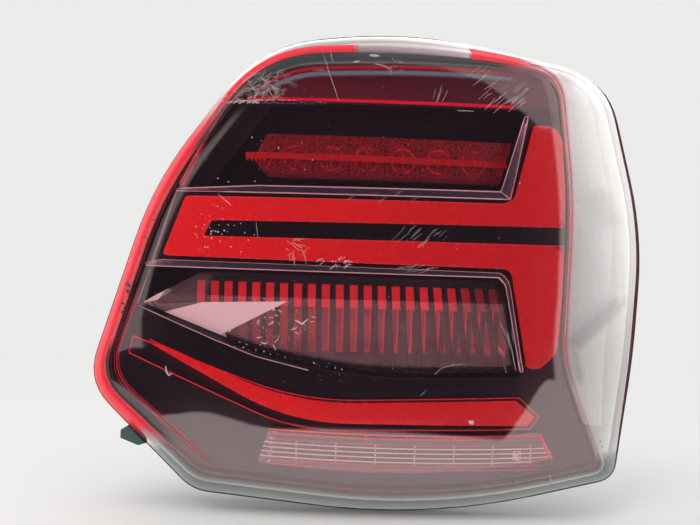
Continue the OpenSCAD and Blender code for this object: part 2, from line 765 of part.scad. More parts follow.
// Connector on the back, its contacts reaching in to the flat cable.
function half(w, h) = [w, h] / 2;
contact_places = led_row(contact_count, contact_pitch, socket_place);
module connector_socket() {
    body = half(socket_width, socket_height);
    plate = body + [3, 3];
    hollow = body - [socket_wall, socket_wall];
    color([0.06, 0.06, 0.065])
        difference() {
            union() {
                block(socket_place - plate, socket_place + plate, back_y, back_y + 2);
                block(socket_place - body, socket_place + body, back_y, back_y + socket_length);
                block(socket_place - nose / 2, socket_place + nose / 2, floor_y - 0.5, back_y + 0.5);
            }
            block(socket_place - hollow, socket_place + hollow, back_y + 4, back_y + socket_length + 1);
            for (p = contact_places) block(p - half(1.4, 1.4), p + half(1.4, 1.4), floor_y - 1, back_y + 6);
        }
}

module contact_pins() {
    color([0.75, 0.6, 0.3])
        for (p = contact_places)
            block(p - half(1, 1), p + half(1, 1), carrier_back + 0.2 + cable_thick + seat, back_y + 10);
}

module fixing_studs() {
    color([0.7, 0.7, 0.66])
        for (p = stud_places) {
            rod(p, stud_radius + stud_collar, -stud_root, 0);
            rod(p, stud_radius, -1, stud_length - 1);
            translate([p[0], stud_length, p[1]]) rotate([90, 0, 0])
                cylinder(1, stud_radius - 0.8, stud_radius);
        }
}

module stud_seals() {
    color([0.13, 0.13, 0.13])
        for (p = stud_places) difference() {
            rod(p, boss_radius + 5, back_y, 0);
            rod(p, boss_radius + seat, back_y - 1, 1);
        }
}

module perimeter_seal() {
    corners = grow(back_corners, -back_corner - foam_inset);
    color([0.13, 0.13, 0.13])
        difference() {
            prism(outline(corners), back_y, 0);
            prism(outline(grow(corners, -foam_width)), back_y - 1, 1);
        }
}

module locating_pins() {
    color([0.09, 0.09, 0.1])
        for (p = pin_places) {
            rod(p, pin_radius - 0.6, p[2] - pin_root + seat, p[2] + 1);
            rod(p, pin_radius, p[2], p[2] + pin_length - 2);
            translate([p[0], p[2] + pin_length, p[1]]) rotate([90, 0, 0])
                cylinder(2, pin_radius - 1.4, pin_radius);
        }
}

module vent_caps() {
    color([0.1, 0.1, 0.1])
        for (p = vent_places) difference() {
            union() {
                rod(p, vent_stem, floor_y - 1, back_y + 1);
                rod(p, 6, back_y, back_y + 5);
            }
            rod(p, 1.5, floor_y - 2, back_y + 3);
        }
}

outer_lens();
housing();
bezel();
side_bezel();
upper_chamber();
lower_chamber();
tail_light_box();
trim_strip(upper_trim);  // upper_window_trim
trim_strip(lower_trim);  // lower_window_trim
stop_lens();
stop_light_bar();
stop_reflector();
board(stop_board_box);  // stop_board
led_set(bowl_places);  // stop_leds
tail_light_guide();
board(tail_board_box);  // tail_board
led_set(tail_led_places);  // tail_leds
turn_lens();
turn_fins();
board(turn_board_box);  // turn_board
led_set(led_row(7, 20, [0, -18]));  // turn_leds
lower_light_guide();
lower_guide_carrier();
reverse_lens();
reverse_tray();
board(reverse_board_box);  // reverse_board
led_set(led_row(reverse_led_count, 120 / reverse_led_count, [30, -100.5]));  // reverse_leds
lamp_carrier();
carrier_screws();
inner_wires();
connector_socket();
contact_pins();
fixing_studs();
stud_seals();
perimeter_seal();
locating_pins();
vent_caps();
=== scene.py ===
"""Dresses the tail light cluster: its lens, guides, trims and lamps, their finishes, and the studio round it."""

import math
import random

import bmesh
import bpy
import numpy as np
from mathutils import Matrix, Vector
from mathutils.bvhtree import BVHTree
from mathutils.geometry import delaunay_2d_cdt


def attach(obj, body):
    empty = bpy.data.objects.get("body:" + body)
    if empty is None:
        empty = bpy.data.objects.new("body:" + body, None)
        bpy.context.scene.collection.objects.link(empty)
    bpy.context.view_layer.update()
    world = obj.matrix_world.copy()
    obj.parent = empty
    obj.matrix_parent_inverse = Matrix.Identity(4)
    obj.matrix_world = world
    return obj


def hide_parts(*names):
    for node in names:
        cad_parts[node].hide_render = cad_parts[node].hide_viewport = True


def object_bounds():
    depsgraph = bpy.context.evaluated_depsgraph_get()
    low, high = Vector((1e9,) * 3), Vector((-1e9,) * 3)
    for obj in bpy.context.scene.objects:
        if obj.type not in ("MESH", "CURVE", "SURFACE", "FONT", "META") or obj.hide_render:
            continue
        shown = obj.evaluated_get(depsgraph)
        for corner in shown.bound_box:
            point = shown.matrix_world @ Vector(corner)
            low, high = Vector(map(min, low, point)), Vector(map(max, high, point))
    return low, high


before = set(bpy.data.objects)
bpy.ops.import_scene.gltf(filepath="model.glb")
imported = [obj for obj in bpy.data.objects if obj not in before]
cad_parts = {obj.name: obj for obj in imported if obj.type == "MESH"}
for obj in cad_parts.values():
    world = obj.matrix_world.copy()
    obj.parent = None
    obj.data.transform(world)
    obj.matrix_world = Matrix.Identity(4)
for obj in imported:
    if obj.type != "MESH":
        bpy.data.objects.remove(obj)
cad_box = [list(corner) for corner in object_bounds()]
MM = 0.001

# ---------------------------------------------------------------- camera, at the photograph's angle

FRAME_MIDDLE, FOCAL_PIXELS = (350.0, 262.5), 1209.0
camera_data = bpy.data.cameras.new("camera")
camera_data.sensor_width, camera_data.lens = 36.0, 36.0 * FOCAL_PIXELS / 700.0
camera_data.clip_start, camera_data.clip_end = 0.01, 50.0
camera = bpy.data.objects.new("camera", camera_data)
camera.location = (0.0, -0.698, 0.0)
camera.rotation_mode = "XYZ"
camera_turn = Matrix.Rotation(math.radians(90), 3, "X") @ Matrix.Rotation(math.radians(1.8), 3, "Z")
camera.rotation_euler = camera_turn.to_euler()
bpy.context.scene.collection.objects.link(camera)
bpy.context.scene.camera = camera

# ---------------------------------------------------------------- sizes, in millimetres, as in the part's source

FACE_RADIUS, FACE_FLATTER, CROWN, DEPTH = 520.0, 50.0, 10.0, 78.0
FACE_ACROSS = FACE_RADIUS + FACE_FLATTER
AXIS_Y = FACE_ACROSS - DEPTH
LENS_WALL, SKIRT_SWELL = 2.6, 0.03
MIDDLE = np.array([4.0, -4.0])
BEZEL_FRONT, BEZEL_BACK = 9.0, 11.4
GUIDE_FRONT, GUIDE_BACK = 5.5, 8.8
CARRIER_BACK, CARRIER_FRONT = -17.0, -20.0

EDGE_CORNERS = [
    (-132.5, 9, -65, 16), (-77.5, 10, -114, 8), (48, 11, -125, 60), (140, 7, -107, 7),
    (114.8, 4, -48, 14), (116.7, 4, 36, 22), (109.5, 6, 107, 18), (34, 10, 115, 45),
    (-51, 10, 110, 32), (-101.5, 9, 34, 30)]
RIM_CORNERS = [
    (-141.5, -38, -69, 18), (-82, -38, -126.5, 9), (46, -38, -138.5, 62), (149.5, -28, -115, 9),
    (168, 14, -50, 22), (177, 37, 22, 34), (152, 29, 112, 24), (36, -12, 132.5, 48),
    (-52, -36, 117.5, 34), (-108, -38, 40, 32)]
UPPER_WINDOW = [(-64.5, 83, 1), (92.5, 83.5, 1), (79, 38, 1), (-89, 37, 1)]
LOWER_WINDOW = [
    (-104.5, -4, 1.5), (82, -4.5, 6), (93.5, -58, 4), (10, -61, 36), (-48, -50, 22), (-111.5, -25.5, 1)]
TAIL_OUTLINE = [
    (-87, 32.4, 2), (80, 33.4, 2), (85.2, 36, 2), (95.2, 75.8, 1.5), (106, 75.8, 3), (111, 70, 3),
    (112.8, 42, 4), (113, 21.8, 0.3), (-72.6, 19.8, 0.3), (-76.8, 11.6, 0.3), (113, 12.4, 0.3),
    (112.6, -18, 4), (111.2, -45, 5), (102, -53.4, 2), (95, -53.2, 2.5), (84.4, -1, 4.5), (-98.6, 0.8, 3)]
BAND_OUTLINE = [
    (-104, -43.6, 0.5), (-26, -74.4, 32), (90, -70.4, 0.6), (101, -79.2, 0.6), (97, -84, 0.6),
    (-29, -84.6, 30), (-104, -45.4, 0.5)]
BAND_CARRIER = [
    (-113.5, -41.5, 1.5), (-24, -72.5, 30), (92, -68.4, 1), (104, -78.8, 1), (99, -86.4, 1),
    (-26, -89.4, 24), (-116, -51.5, 1.5)]
REVERSE_OUTLINE = [
    (-40.5, -89.6, 2), (45, -93.2, 50), (104, -87.4, 2), (112.6, -101.8, 2), (42, -113.6, 55),
    (-45.5, -106.8, 2)]
UPPER_TRIM = [
    (-93, 34.4, 0.3), (83.6, 35.4, 1), (92.8, 81, 0.3), (90.6, 81, 0.3), (78, 40, 1), (-49, 39, 1),
    (-93, 36.2, 0.3)]
LOWER_TRIM = [
    (-108.5, -3, 0.3), (-99, -1.1, 1), (80, -2.7, 3), (84.6, -8, 2), (93.8, -55, 0.3), (92, -55.6, 0.3),
    (82.2, -9.6, 2), (78.5, -5.8, 2), (-107, -5.2, 0.3)]
POST_PLACES = [(-112, -42), (-20, -75), (70, -75), (10, 98), (82, 91), (-96, -72)]


# ---------------------------------------------------------------- lines and surfaces

def unit(v):
    return v / np.linalg.norm(v, axis=-1, keepdims=True)


def face_y(x, z, under=0.0):
    """Depth of the lens face, or of the surface that lies under it."""
    radius = FACE_ACROSS - under - (FACE_RADIUS - np.sqrt(FACE_RADIUS ** 2 - z * z))
    return AXIS_Y - np.sqrt(radius ** 2 - (x + CROWN) ** 2)


def under_face(under):
    return lambda x, z: face_y(x, z, under)


def rounded(corners, curve_steps, side_steps=1):
    """Closed path through corners (..., cut), each corner a smooth curve."""
    corners = np.array(corners, float)
    spots, cuts = corners[:, :-1], corners[:, -1]
    count, path = len(spots), []
    for k in range(count):
        here, before, after = spots[k], spots[k - 1], spots[(k + 1) % count]
        start = here + cuts[k] * unit(before - here)
        end = here + cuts[k] * unit(after - here)
        following = after + cuts[(k + 1) % count] * unit(here - after)
        for t in np.linspace(0, 1, curve_steps + 1):
            path.append((1 - t) ** 2 * start + 2 * t * (1 - t) * here + t * t * end)
        for t in np.arange(1, side_steps) / side_steps:
            path.append(end + (following - end) * t)
    return np.array(path)


def signed_area(loop):
    ahead = np.roll(loop, -1, 0)
    return 0.5 * float(np.sum(loop[:, 0] * ahead[:, 1] - ahead[:, 0] * loop[:, 1]))


def counter_clockwise(loop):
    loop = np.asarray(loop, float)[:, :2]
    return loop if signed_area(loop) > 0 else loop[::-1]


def inset(loop, d):
    """A counter-clockwise line moved inwards by d."""
    before, after = loop - np.roll(loop, 1, 0), np.roll(loop, -1, 0) - loop
    n = unit(unit(before) + unit(after))
    inward = np.stack([-n[:, 1], n[:, 0]], 1)
    bend = np.clip(np.sum(unit(before) * n, 1), 0.5, 1)
    return loop + inward * (d / bend)[:, None]


def finer(loop, longest):
    """The line with its long sides cut into shorter ones."""
    path = []
    for a, b in zip(loop, np.roll(loop, -1, 0)):
        parts = max(1, math.ceil(np.linalg.norm(b - a) / longest))
        path.extend(a + (b - a) * t for t in np.arange(parts) / parts)
    return np.array(path)


def outline(corners, steps=6, longest=5.0):
    return finer(counter_clockwise(rounded(corners, steps)), longest)


def grown(corners, d):
    """Corners of an outline grown by d on all sides, the cuts kept in step."""
    spots = np.array(corners, float)
    side = 1 if signed_area(spots[:, :2]) > 0 else -1
    out = []
    for k in range(len(spots)):
        p, a, b = spots[k, :2], spots[k - 1, :2], spots[(k + 1) % len(spots), :2]
        e, f = unit(p - a), unit(b - p)
        m, n = side * np.array([e[1], -e[0]]), side * np.array([f[1], -f[0]])
        bulge = side * (e[0] * f[1] - e[1] * f[0]) / (1 + e @ f)
        q = p + d * (m + n) / (1 + m @ n)
        out.append((q[0], q[1], max(0.3, spots[k, 2] + d * bulge)))
    return out


def inside(points, loops):
    """Which points lie inside the lines, and how far each is from the nearest line."""
    a = np.concatenate(loops)
    b = np.concatenate([np.roll(loop, -1, 0) for loop in loops])
    crossings = np.zeros(len(points), int)
    nearest = np.full(len(points), 1e9)
    for p, q in zip(a, b):
        over = (p[1] > points[:, 1]) != (q[1] > points[:, 1])
        slope = (q[0] - p[0]) / ((q[1] - p[1]) or 1e-9)
        crossings += over & (points[:, 0] < p[0] + slope * (points[:, 1] - p[1]))
        side = q - p
        t = np.clip((points - p) @ side / max(side @ side, 1e-12), 0, 1)
        nearest = np.minimum(nearest, np.linalg.norm(points - p - t[:, None] * side, axis=1))
    return crossings % 2 == 1, nearest


def filled(loops, cell):
    """Points and triangles of the flat area between closed lines. The lines' own points come first."""
    border = np.concatenate(loops)
    low, high = border.min(0), border.max(0)
    xs = np.arange(low[0] + cell / 2, high[0], cell)
    zs = np.arange(low[1] + cell / 2, high[1], cell)
    grid = np.stack(np.meshgrid(xs, zs), -1).reshape(-1, 2)
    if len(grid):
        within, distance = inside(grid, loops)
        grid = grid[within & (distance > cell * 0.45)]
    everything = np.concatenate([border, grid])
    edges, start = [], 0
    for loop in loops:
        n = len(loop)
        edges.extend((start + i, start + (i + 1) % n) for i in range(n))
        start += n
    found = delaunay_2d_cdt([Vector(p) for p in everything], edges, [], 0, 1e-7)
    origin = [source[0] if source else -1 for source in found[3]]
    triangles = np.array([[origin[i] for i in face] for face in found[2]])
    triangles = triangles[(triangles >= 0).all(1)]
    within, distance = inside(everything[triangles].mean(1), loops)
    return everything, triangles[within & (distance > 1e-6)].tolist()


# ---------------------------------------------------------------- pieces

def piece_of(name, points, faces, slot, node=None, finish=None, weighted=False, outward=True):
    """A named piece from points in millimetres, with its slot, the node it stands for, and its finish where that
    isn't the slot's own."""
    mesh = bpy.data.meshes.new(name)
    spots = [tuple(p) for p in np.asarray(points, float) * MM]
    mesh.from_pydata(spots, [], [tuple(int(i) for i in f) for f in faces])
    if outward:
        work = bmesh.new()
        work.from_mesh(mesh)
        bmesh.ops.recalc_face_normals(work, faces=work.faces)
        work.to_mesh(mesh)
        work.free()
    mesh.materials.append(FINISHES[finish or slot])
    piece = bpy.data.objects.new(name, mesh)
    bpy.context.scene.collection.objects.link(piece)
    for polygon in mesh.polygons:
        polygon.use_smooth = True
    if weighted:
        even = piece.modifiers.new("even_normals", "WEIGHTED_NORMAL")
        even.weight, even.keep_sharp = 100, True
    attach(piece, "root")
    if node:
        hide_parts(node)
    return piece


def band_faces(low, high, count):
    """Faces between two rings of that many points, which start at those numbers."""
    return [(low + i, low + (i + 1) % count, high + (i + 1) % count, high + i) for i in range(count)]


def plate_mesh(loops, front, back, round_by=0.5, cell=6.0, steps=3):
    """Points and faces of a sheet between two depths. loops[0] is the outside and the rest are holes. The front
    edges are rounded."""
    points, faces = [], []

    def ring(d, depth):
        start = len(points)
        for k, loop in enumerate(loops):
            line = inset(loop, d if k == 0 else -d)
            y = depth(line[:, 0], line[:, 1])
            points.extend(np.stack([line[:, 0], y, line[:, 1]], 1))
        return start

    def skin(start, depth, d):
        flat = [inset(loop, d if k == 0 else -d) for k, loop in enumerate(loops)]
        spots, triangles = filled(flat, cell)
        border = sum(len(loop) for loop in loops)
        extra = spots[border:]
        base = len(points)
        if len(extra):
            y = depth(extra[:, 0], extra[:, 1])
            points.extend(np.stack([extra[:, 0], y, extra[:, 1]], 1))
        for t in triangles:
            faces.append(tuple(start + i if i < border else base + i - border for i in t))

    def level(depth, add):
        return lambda x, z: depth(x, z) + add

    starts = [ring(0, back)]
    for k in range(steps + 1):
        a = math.pi / 2 * k / steps
        starts.append(ring(round_by * (1 - math.cos(a)), level(front, round_by * (1 - math.sin(a)))))
    for low, high in zip(starts, starts[1:]):
        offset = 0
        for loop in loops:
            faces += band_faces(low + offset, high + offset, len(loop))
            offset += len(loop)
    skin(starts[-1], front, round_by)
    skin(starts[0], back, 0)
    return points, faces


def plate(name, loops, front, back, slot, node, extra=(), **shape):
    points, faces = plate_mesh(loops, front, back, **shape)
    for more_points, more_faces in extra:
        start = len(points)
        points = list(points) + list(more_points)
        faces = faces + [tuple(i + start for i in f) for f in more_faces]
    return piece_of(name, points, faces, slot, node, weighted=True)


def rod_mesh(place, radius, front, back, around=24, soft=0.4):
    """A round bar along Y with softened ends."""
    points, faces = [], []
    rows = [(radius - soft, front), (radius, front + soft), (radius, back - soft), (radius - soft, back)]
    for r, y in rows:
        for a in np.arange(around) / around * 2 * math.pi:
            points.append((place[0] + r * math.cos(a), y, place[1] + r * math.sin(a)))
    for k in range(len(rows) - 1):
        faces += band_faces(k * around, (k + 1) * around, around)
    faces.append(tuple(range(around)))
    faces.append(tuple(range(len(rows) * around - 1, (len(rows) - 1) * around - 1, -1)))
    return points, faces


# ---------------------------------------------------------------- finishes

class Number:
    """A number that varies over a surface, for use in plain sums."""

    def __init__(self, finish, socket):
        self.finish, self.socket = finish, socket

    def sum(self, operation, *others, clamp=False):
        return self.finish.node(
            "Math", {"operation": operation, "use_clamp": clamp}, dict(enumerate((self,) + others)))

    def __add__(self, other):
        return self.sum("ADD", other)

    def __sub__(self, other):
        return self.sum("SUBTRACT", other)

    def __mul__(self, other):
        return self.sum("MULTIPLY", other)

    def __truediv__(self, other):
        return self.sum("DIVIDE", other)

    def __pow__(self, other):
        return self.sum("POWER", other)

    def __rsub__(self, other):
        return self.finish.node("Math", {"operation": "SUBTRACT"}, {0: other, 1: self})

    def __abs__(self):
        return self.sum("ABSOLUTE")

    __radd__, __rmul__ = __add__, __mul__

    def most(self, other):
        return self.sum("MAXIMUM", other)

    def held(self):
        """Kept between 0 and 1."""
        return self.sum("ADD", 0.0, clamp=True)

    def rise(self, low, high):
        """0 below low and 1 above high, smooth between. With low above high it falls."""
        return self.finish.node(
            "MapRange", {"interpolation_type": "SMOOTHSTEP"},
            {"Value": self, "From Min": low, "From Max": high})


class Finish:
    """One material, built node by node."""

    def __init__(self, name, world=False):
        if world:
            self.made = bpy.data.worlds.new(name)
        else:
            self.made = bpy.data.materials.new(name)
        self.made.use_nodes = True
        self.tree = self.made.node_tree
        self.tree.nodes.clear()
        self.world = world
        self._place = None

    def node(self, kind, settings=None, values=None, out=0):
        made = self.tree.nodes.new("ShaderNode" + kind)
        for key, setting in (settings or {}).items():
            setattr(made, key, setting)
        for key, value in (values or {}).items():
            if isinstance(value, Number):
                self.tree.links.new(value.socket, made.inputs[key])
            else:
                made.inputs[key].default_value = value
        return Number(self, made.outputs[out])

    def place(self):
        """x, y and z of the point, in millimetres."""
        if self._place is None:
            spot = self.node("TexCoord", out="Object")
            spot = self.node("VectorMath", {"operation": "SCALE"}, {0: spot, "Scale": 1000.0})
            split = self.tree.nodes.new("ShaderNodeSeparateXYZ")
            self.tree.links.new(spot.socket, split.inputs[0])
            self._place = (spot, *(Number(self, split.outputs[k]) for k in range(3)))
        return self._place[1:]

    def spot(self):
        self.place()
        return self._place[0]

    def stretched(self, x, y, z):
        """The point scaled along its axes, for grain that runs one way."""
        return self.node("VectorMath", {"operation": "MULTIPLY"}, {0: self.spot(), 1: (x, y, z)})

    def noise(self, size, detail=3.0, rough=0.5, at=None):
        """Cloudy number from 0 to 1 with spots of about that size in millimetres."""
        return self.node("TexNoise", {}, {
            "Vector": at or self.spot(), "Scale": 1.0 / size, "Detail": detail, "Roughness": rough})

    def cells(self, size):
        """Distance to the middle of the nearest of many uneven cells of that size in millimetres."""
        return self.node("TexVoronoi", {}, {"Vector": self.spot(), "Scale": 1.0 / size}, "Distance")

    def blend(self, factor, a, b):
        """Colour a where factor is 0 and b where it is 1."""
        def four(c):
            return c if isinstance(c, Number) else (*c, 1.0) if len(c) == 3 else c
        return self.node(
            "Mix", {"data_type": "RGBA", "clamp_factor": True},
            {0: factor, 6: four(a), 7: four(b)}, 2)

    def bump(self, height, strength, distance):
        return self.node("Bump", {}, {"Height": height, "Strength": strength, "Distance": distance * MM})

    def shader(self, kind, **values):
        return self.node("Bsdf" + kind, {}, {key.replace("_", " "): value for key, value in values.items()})

    def mixed(self, factor, a, b):
        return self.node("MixShader", {}, {0: factor, 1: a, 2: b})

    def gloss_view(self, normal, head_on):
        """How much a clear surface mirrors at this angle, alike on both of its sides."""
        facing = self.node("LayerWeight", {}, {"Blend": 0.5, "Normal": normal}, "Facing")
        return (facing ** 5.0) * (1 - head_on) + head_on

    def polished(self, body, skin, head_on, roughness, share=1.0):
        """The finished material: the body under a clear skin that mirrors, by that share where it is dulled."""
        shine = self.shader("Glossy", Color=(1, 1, 1, 1), Roughness=roughness, Normal=skin)
        return self.done(self.mixed(self.gloss_view(skin, head_on) * share, body, shine))

    def line(self, a, b, width, soft=0.15):
        """1 along the straight line from a to b, as [x, z], and 0 beside it."""
        x, _, z = self.place()
        ax, az, bx, bz = a[0], a[1], b[0], b[1]
        long = (bx - ax) ** 2 + (bz - az) ** 2
        along = (((x - ax) * ((bx - ax) / long)) + ((z - az) * ((bz - az) / long))).held()
        dx = x - ax - along * (bx - ax)
        dz = z - az - along * (bz - az)
        return (dx * dx + dz * dz).sum("SQRT").rise(width / 2 + soft, width / 2 - soft)

    def facet(self, corners, soft=0.15):
        """1 inside a straight-sided shape with corners [x, z] given anticlockwise, and 0 outside it."""
        x, _, z = self.place()
        within = None
        for a, b in zip(corners, corners[1:] + corners[:1]):
            long = math.hypot(b[0] - a[0], b[1] - a[1])
            n = (-(b[1] - a[1]) / long, (b[0] - a[0]) / long)
            side = (x * n[0] + z * n[1] - (a[0] * n[0] + a[1] * n[1])).rise(-soft, soft)
            within = side if within is None else within * side
        return within

    def patch(self, centre, reach, soft=0.4):
        """1 inside an ellipse seen from the front, falling off round it."""
        x, _, z = self.place()
        dx, dz = (x - centre[0]) / reach[0], (z - centre[1]) / reach[1]
        return (dx * dx + dz * dz).sum("SQRT").rise(1 + soft, 1 - soft)

    def done(self, shader):
        if self.world:
            out = self.tree.nodes.new("ShaderNodeOutputWorld")
        else:
            out = self.tree.nodes.new("ShaderNodeOutputMaterial")
        self.tree.links.new(shader.socket, out.inputs["Surface"])
        return self.made


def moulded(name, colour, rough=0.45, grain=0.25, grain_size=0.6, vary=0.12):
    """Moulded plastic: fine skin and slight flow clouds."""
    f = Finish(name)
    clouds = f.noise(18, 3)
    fine = f.noise(grain_size, 2)
    dark = tuple(c * (1 - vary) for c in colour)
    pale = tuple(min(1, c * (1 + vary) + 0.004) for c in colour)
    return f.done(f.shader(
        "Principled", Base_Color=f.blend(clouds, dark, pale), Roughness=f.noise(7, 4) * 0.16 + (rough - 0.08),
        Normal=f.bump(fine, grain, 0.05)))


def metal(name, colour, rough, brushed=0.0):
    f = Finish(name)
    clouds = f.noise(9, 3)
    shade = f.blend(clouds, tuple(c * 0.86 for c in colour), colour)
    roughness = f.noise(3, 4) * 0.12 + (rough - 0.05)
    grain = f.noise(0.7, 2, at=f.stretched(1.0, 14.0, 1.0) if brushed else None)
    return f.done(f.shader("Principled", Base_Color=shade, Metallic=1.0, Roughness=roughness,
                           Normal=f.bump(grain, 0.12 + brushed, 0.03)))


def lens_plastic():
    """Smoked red lens: tinted and clear in the middle, deep red at the welded rim with a painted glow, mirroring
    more at a slant. Some bands and lines on it are painted reflections.
    """
    f = Finish("smoked_red_lens")
    x, _, z = f.place()
    across = f.node("SeparateXYZ", {}, {0: f.node("UVMap", {"uv_map": "Lens"})}, 1)

    def band(low, high, soft=0.004):
        return across.rise(low - soft, low + soft) * across.rise(high + soft, high - soft)

    patchy = f.noise(5, 4, 0.6) * 0.4 + 0.78
    left_side = x.rise(-50, -90) * z.rise(-104, -86)
    top_left = z.rise(60, 92) * x.rise(3, -3)
    top_right = z.rise(84, 92) * x.rise(60, 62) * x.rise(108, 84)
    rim_zone = left_side.most(top_left)
    rim = left_side * across.rise(0.548, 0.556)
    rim = rim.most(top_left * band(0.550, 0.600))
    strip_zone = z.rise(90, 96) * x.rise(-4, 1) * x.rise(62, 60)
    foot = across.rise(0.975, 0.985) * (1 - rim_zone) * 0.28
    crease = band(0.549, 0.560) * (1 - rim_zone) * (1 - strip_zone) * (z.rise(-70, -40) * 0.72 + 0.22)
    low_left = x.rise(-60, -80) * z.rise(-8, -30)
    # Thin red lines beside the crease: painted reflections of the red rim in the lens wall.
    rim_reflection_lines = band(0.4985, 0.5015, 0.0012).most(band(0.5075, 0.5095, 0.001)) * low_left * 0.7
    top_zone = z.rise(84, 90) * x.rise(-70, -40) * x.rise(92, 70)
    rim_reflection_lines = rim_reflection_lines.most(band(0.494, 0.498, 0.0015) * top_zone * 0.6)
    # The red at the rim, the top right, the foot and the crease: partly the plastic's own red, partly painted
    # light shining through from behind. It also drives the painted glow below.
    red = (rim.most(top_right * band(0.561, 0.700)).most(foot).most(crease).most(rim_reflection_lines) * patchy).held()
    # A dark grey-green band beside the crease: a painted reflection of the skirt.
    shade_line = rim_zone * band(0.532, 0.546, 0.003) * z.rise(52, 62).most(z.rise(-42, -52)) * 0.86
    shade_line = shade_line.most(band(0.512, 0.540) * top_zone * 0.7)
    slate = band(0.477, 0.487, 0.002) * top_zone * 0.5
    # A greenish band on the lower skirt: a painted reflection of the floor.
    green_floor_reflection = z.rise(-98, -106) * across.rise(0.600, 0.612) * (1 - red) * (1 - rim_zone) * 0.80
    dull = f.noise(1.3, 6, 0.75).rise(0.60, 0.78) * f.noise(26, 3).rise(0.45, 0.7) * 0.07
    cloud = f.patch((-50, 92), (17, 10)) * f.noise(4, 7, 0.75).rise(0.46, 0.70) * 0.36
    cloud = cloud.most(f.patch((92, 95), (22, 16)) * f.noise(3, 7, 0.75).rise(0.5, 0.75) * 0.10)
    # Dark brownish streaks on the right wrap: painted reflections of window shapes.
    window_reflections = f.line((118, -40), (123, -58), 7, 4).most(f.line((124, -40), (158, -18), 5, 3)) * 0.55
    window_reflections = window_reflections.most(f.line((140, 42), (150, 28), 7, 6) * 0.30) * across.rise(0.60, 0.63)
    haze = dull.most(cloud).most(shade_line).most(slate).most(green_floor_reflection).most(window_reflections) + 0.014
    film = f.blend(cloud.rise(0.02, 0.1), (0.30, 0.05, 0.08), (0.62, 0.60, 0.56))
    film = f.blend(shade_line.rise(0.1, 0.3), film, (0.022, 0.036, 0.040))
    film = f.blend(slate.rise(0.1, 0.3), film, (0.17, 0.19, 0.24))
    film = f.blend(green_floor_reflection.rise(0.1, 0.3), film, (0.120, 0.165, 0.150))
    film = f.blend(window_reflections.rise(0.02, 0.2), film, (0.10, 0.055, 0.055))
    film = f.blend(red, film, (0.70, 0.003, 0.022))
    # Painted glow: the red shines by itself, though no lamp lights it.
    glow = f.blend(red, (0, 0, 0), (1.0, 0.002, 0.022))
    skin = f.bump(f.noise(60, 2), 0.05, 1.5)
    tinted = f.mixed(
        x.rise(110, 124) * across.rise(0.60, 0.64), f.shader("Transparent", Color=(0.95, 0.80, 0.82, 1)),
        f.shader("Transparent", Color=(0.975, 0.955, 0.957, 1)))
    body = f.mixed(
        haze.most(red * 0.92).held(), tinted,
        f.shader("Principled", Base_Color=film, Roughness=0.5, Specular_IOR_Level=0.08, Emission_Color=glow,
                 Emission_Strength=0.20))
    matt = (red * 1.06).most(shade_line * 1.1).most(green_floor_reflection).held()
    return f.polished(body, skin, 0.045, f.noise(3, 5, 0.7).rise(0.5, 0.9) * 0.04 + 0.008, 1 - matt * 0.985)


def smoked_prism():
    """Dark smoked plastic of the carrier round the lower guide."""
    f = Finish("prism_dark")
    skin = f.bump(f.noise(2.5, 3), 0.04, 0.08)
    specks = f.noise(1.1, 6, 0.75).rise(0.62, 0.76) * 0.12
    film = (0.08, 0.015, 0.03)
    body = f.mixed(
        (specks + 0.10).held(), f.shader("Transparent", Color=(0.55, 0.10, 0.14, 1)),
        f.shader("Principled", Roughness=0.45,
                 Base_Color=f.blend(f.noise(6, 3), tuple(c * 0.8 for c in film), film)))
    return f.polished(body, skin, 0.06, f.noise(4, 4) * 0.03 + 0.02)


def red_guide(name, near, far_side, glow):
    """Diffusing red plastic that carries light, paler at one end and deeper at the other. Its glow here is
    painted, and falls off the same way.
    """
    f = Finish(name)
    x, _, z = f.place()
    along = (x * 0.006 + z * 0.001 + 0.45).held()
    shade = f.blend(along, near, far_side)
    shade = f.blend(f.noise(14, 4) * 0.35, shade, tuple(c * 0.8 for c in far_side))
    # Colour of the painted glow, paler at the same end.
    light = f.blend(along, near, tuple(c * 0.75 for c in far_side))
    return f.done(f.shader(
        "Principled", Base_Color=shade, Roughness=f.noise(5, 4) * 0.1 + 0.22, IOR=1.49,
        Normal=f.bump(f.noise(1.6, 3), 0.05, 0.1), Coat_Weight=0.4, Coat_Roughness=0.08,
        Emission_Color=light, Emission_Strength=glow))


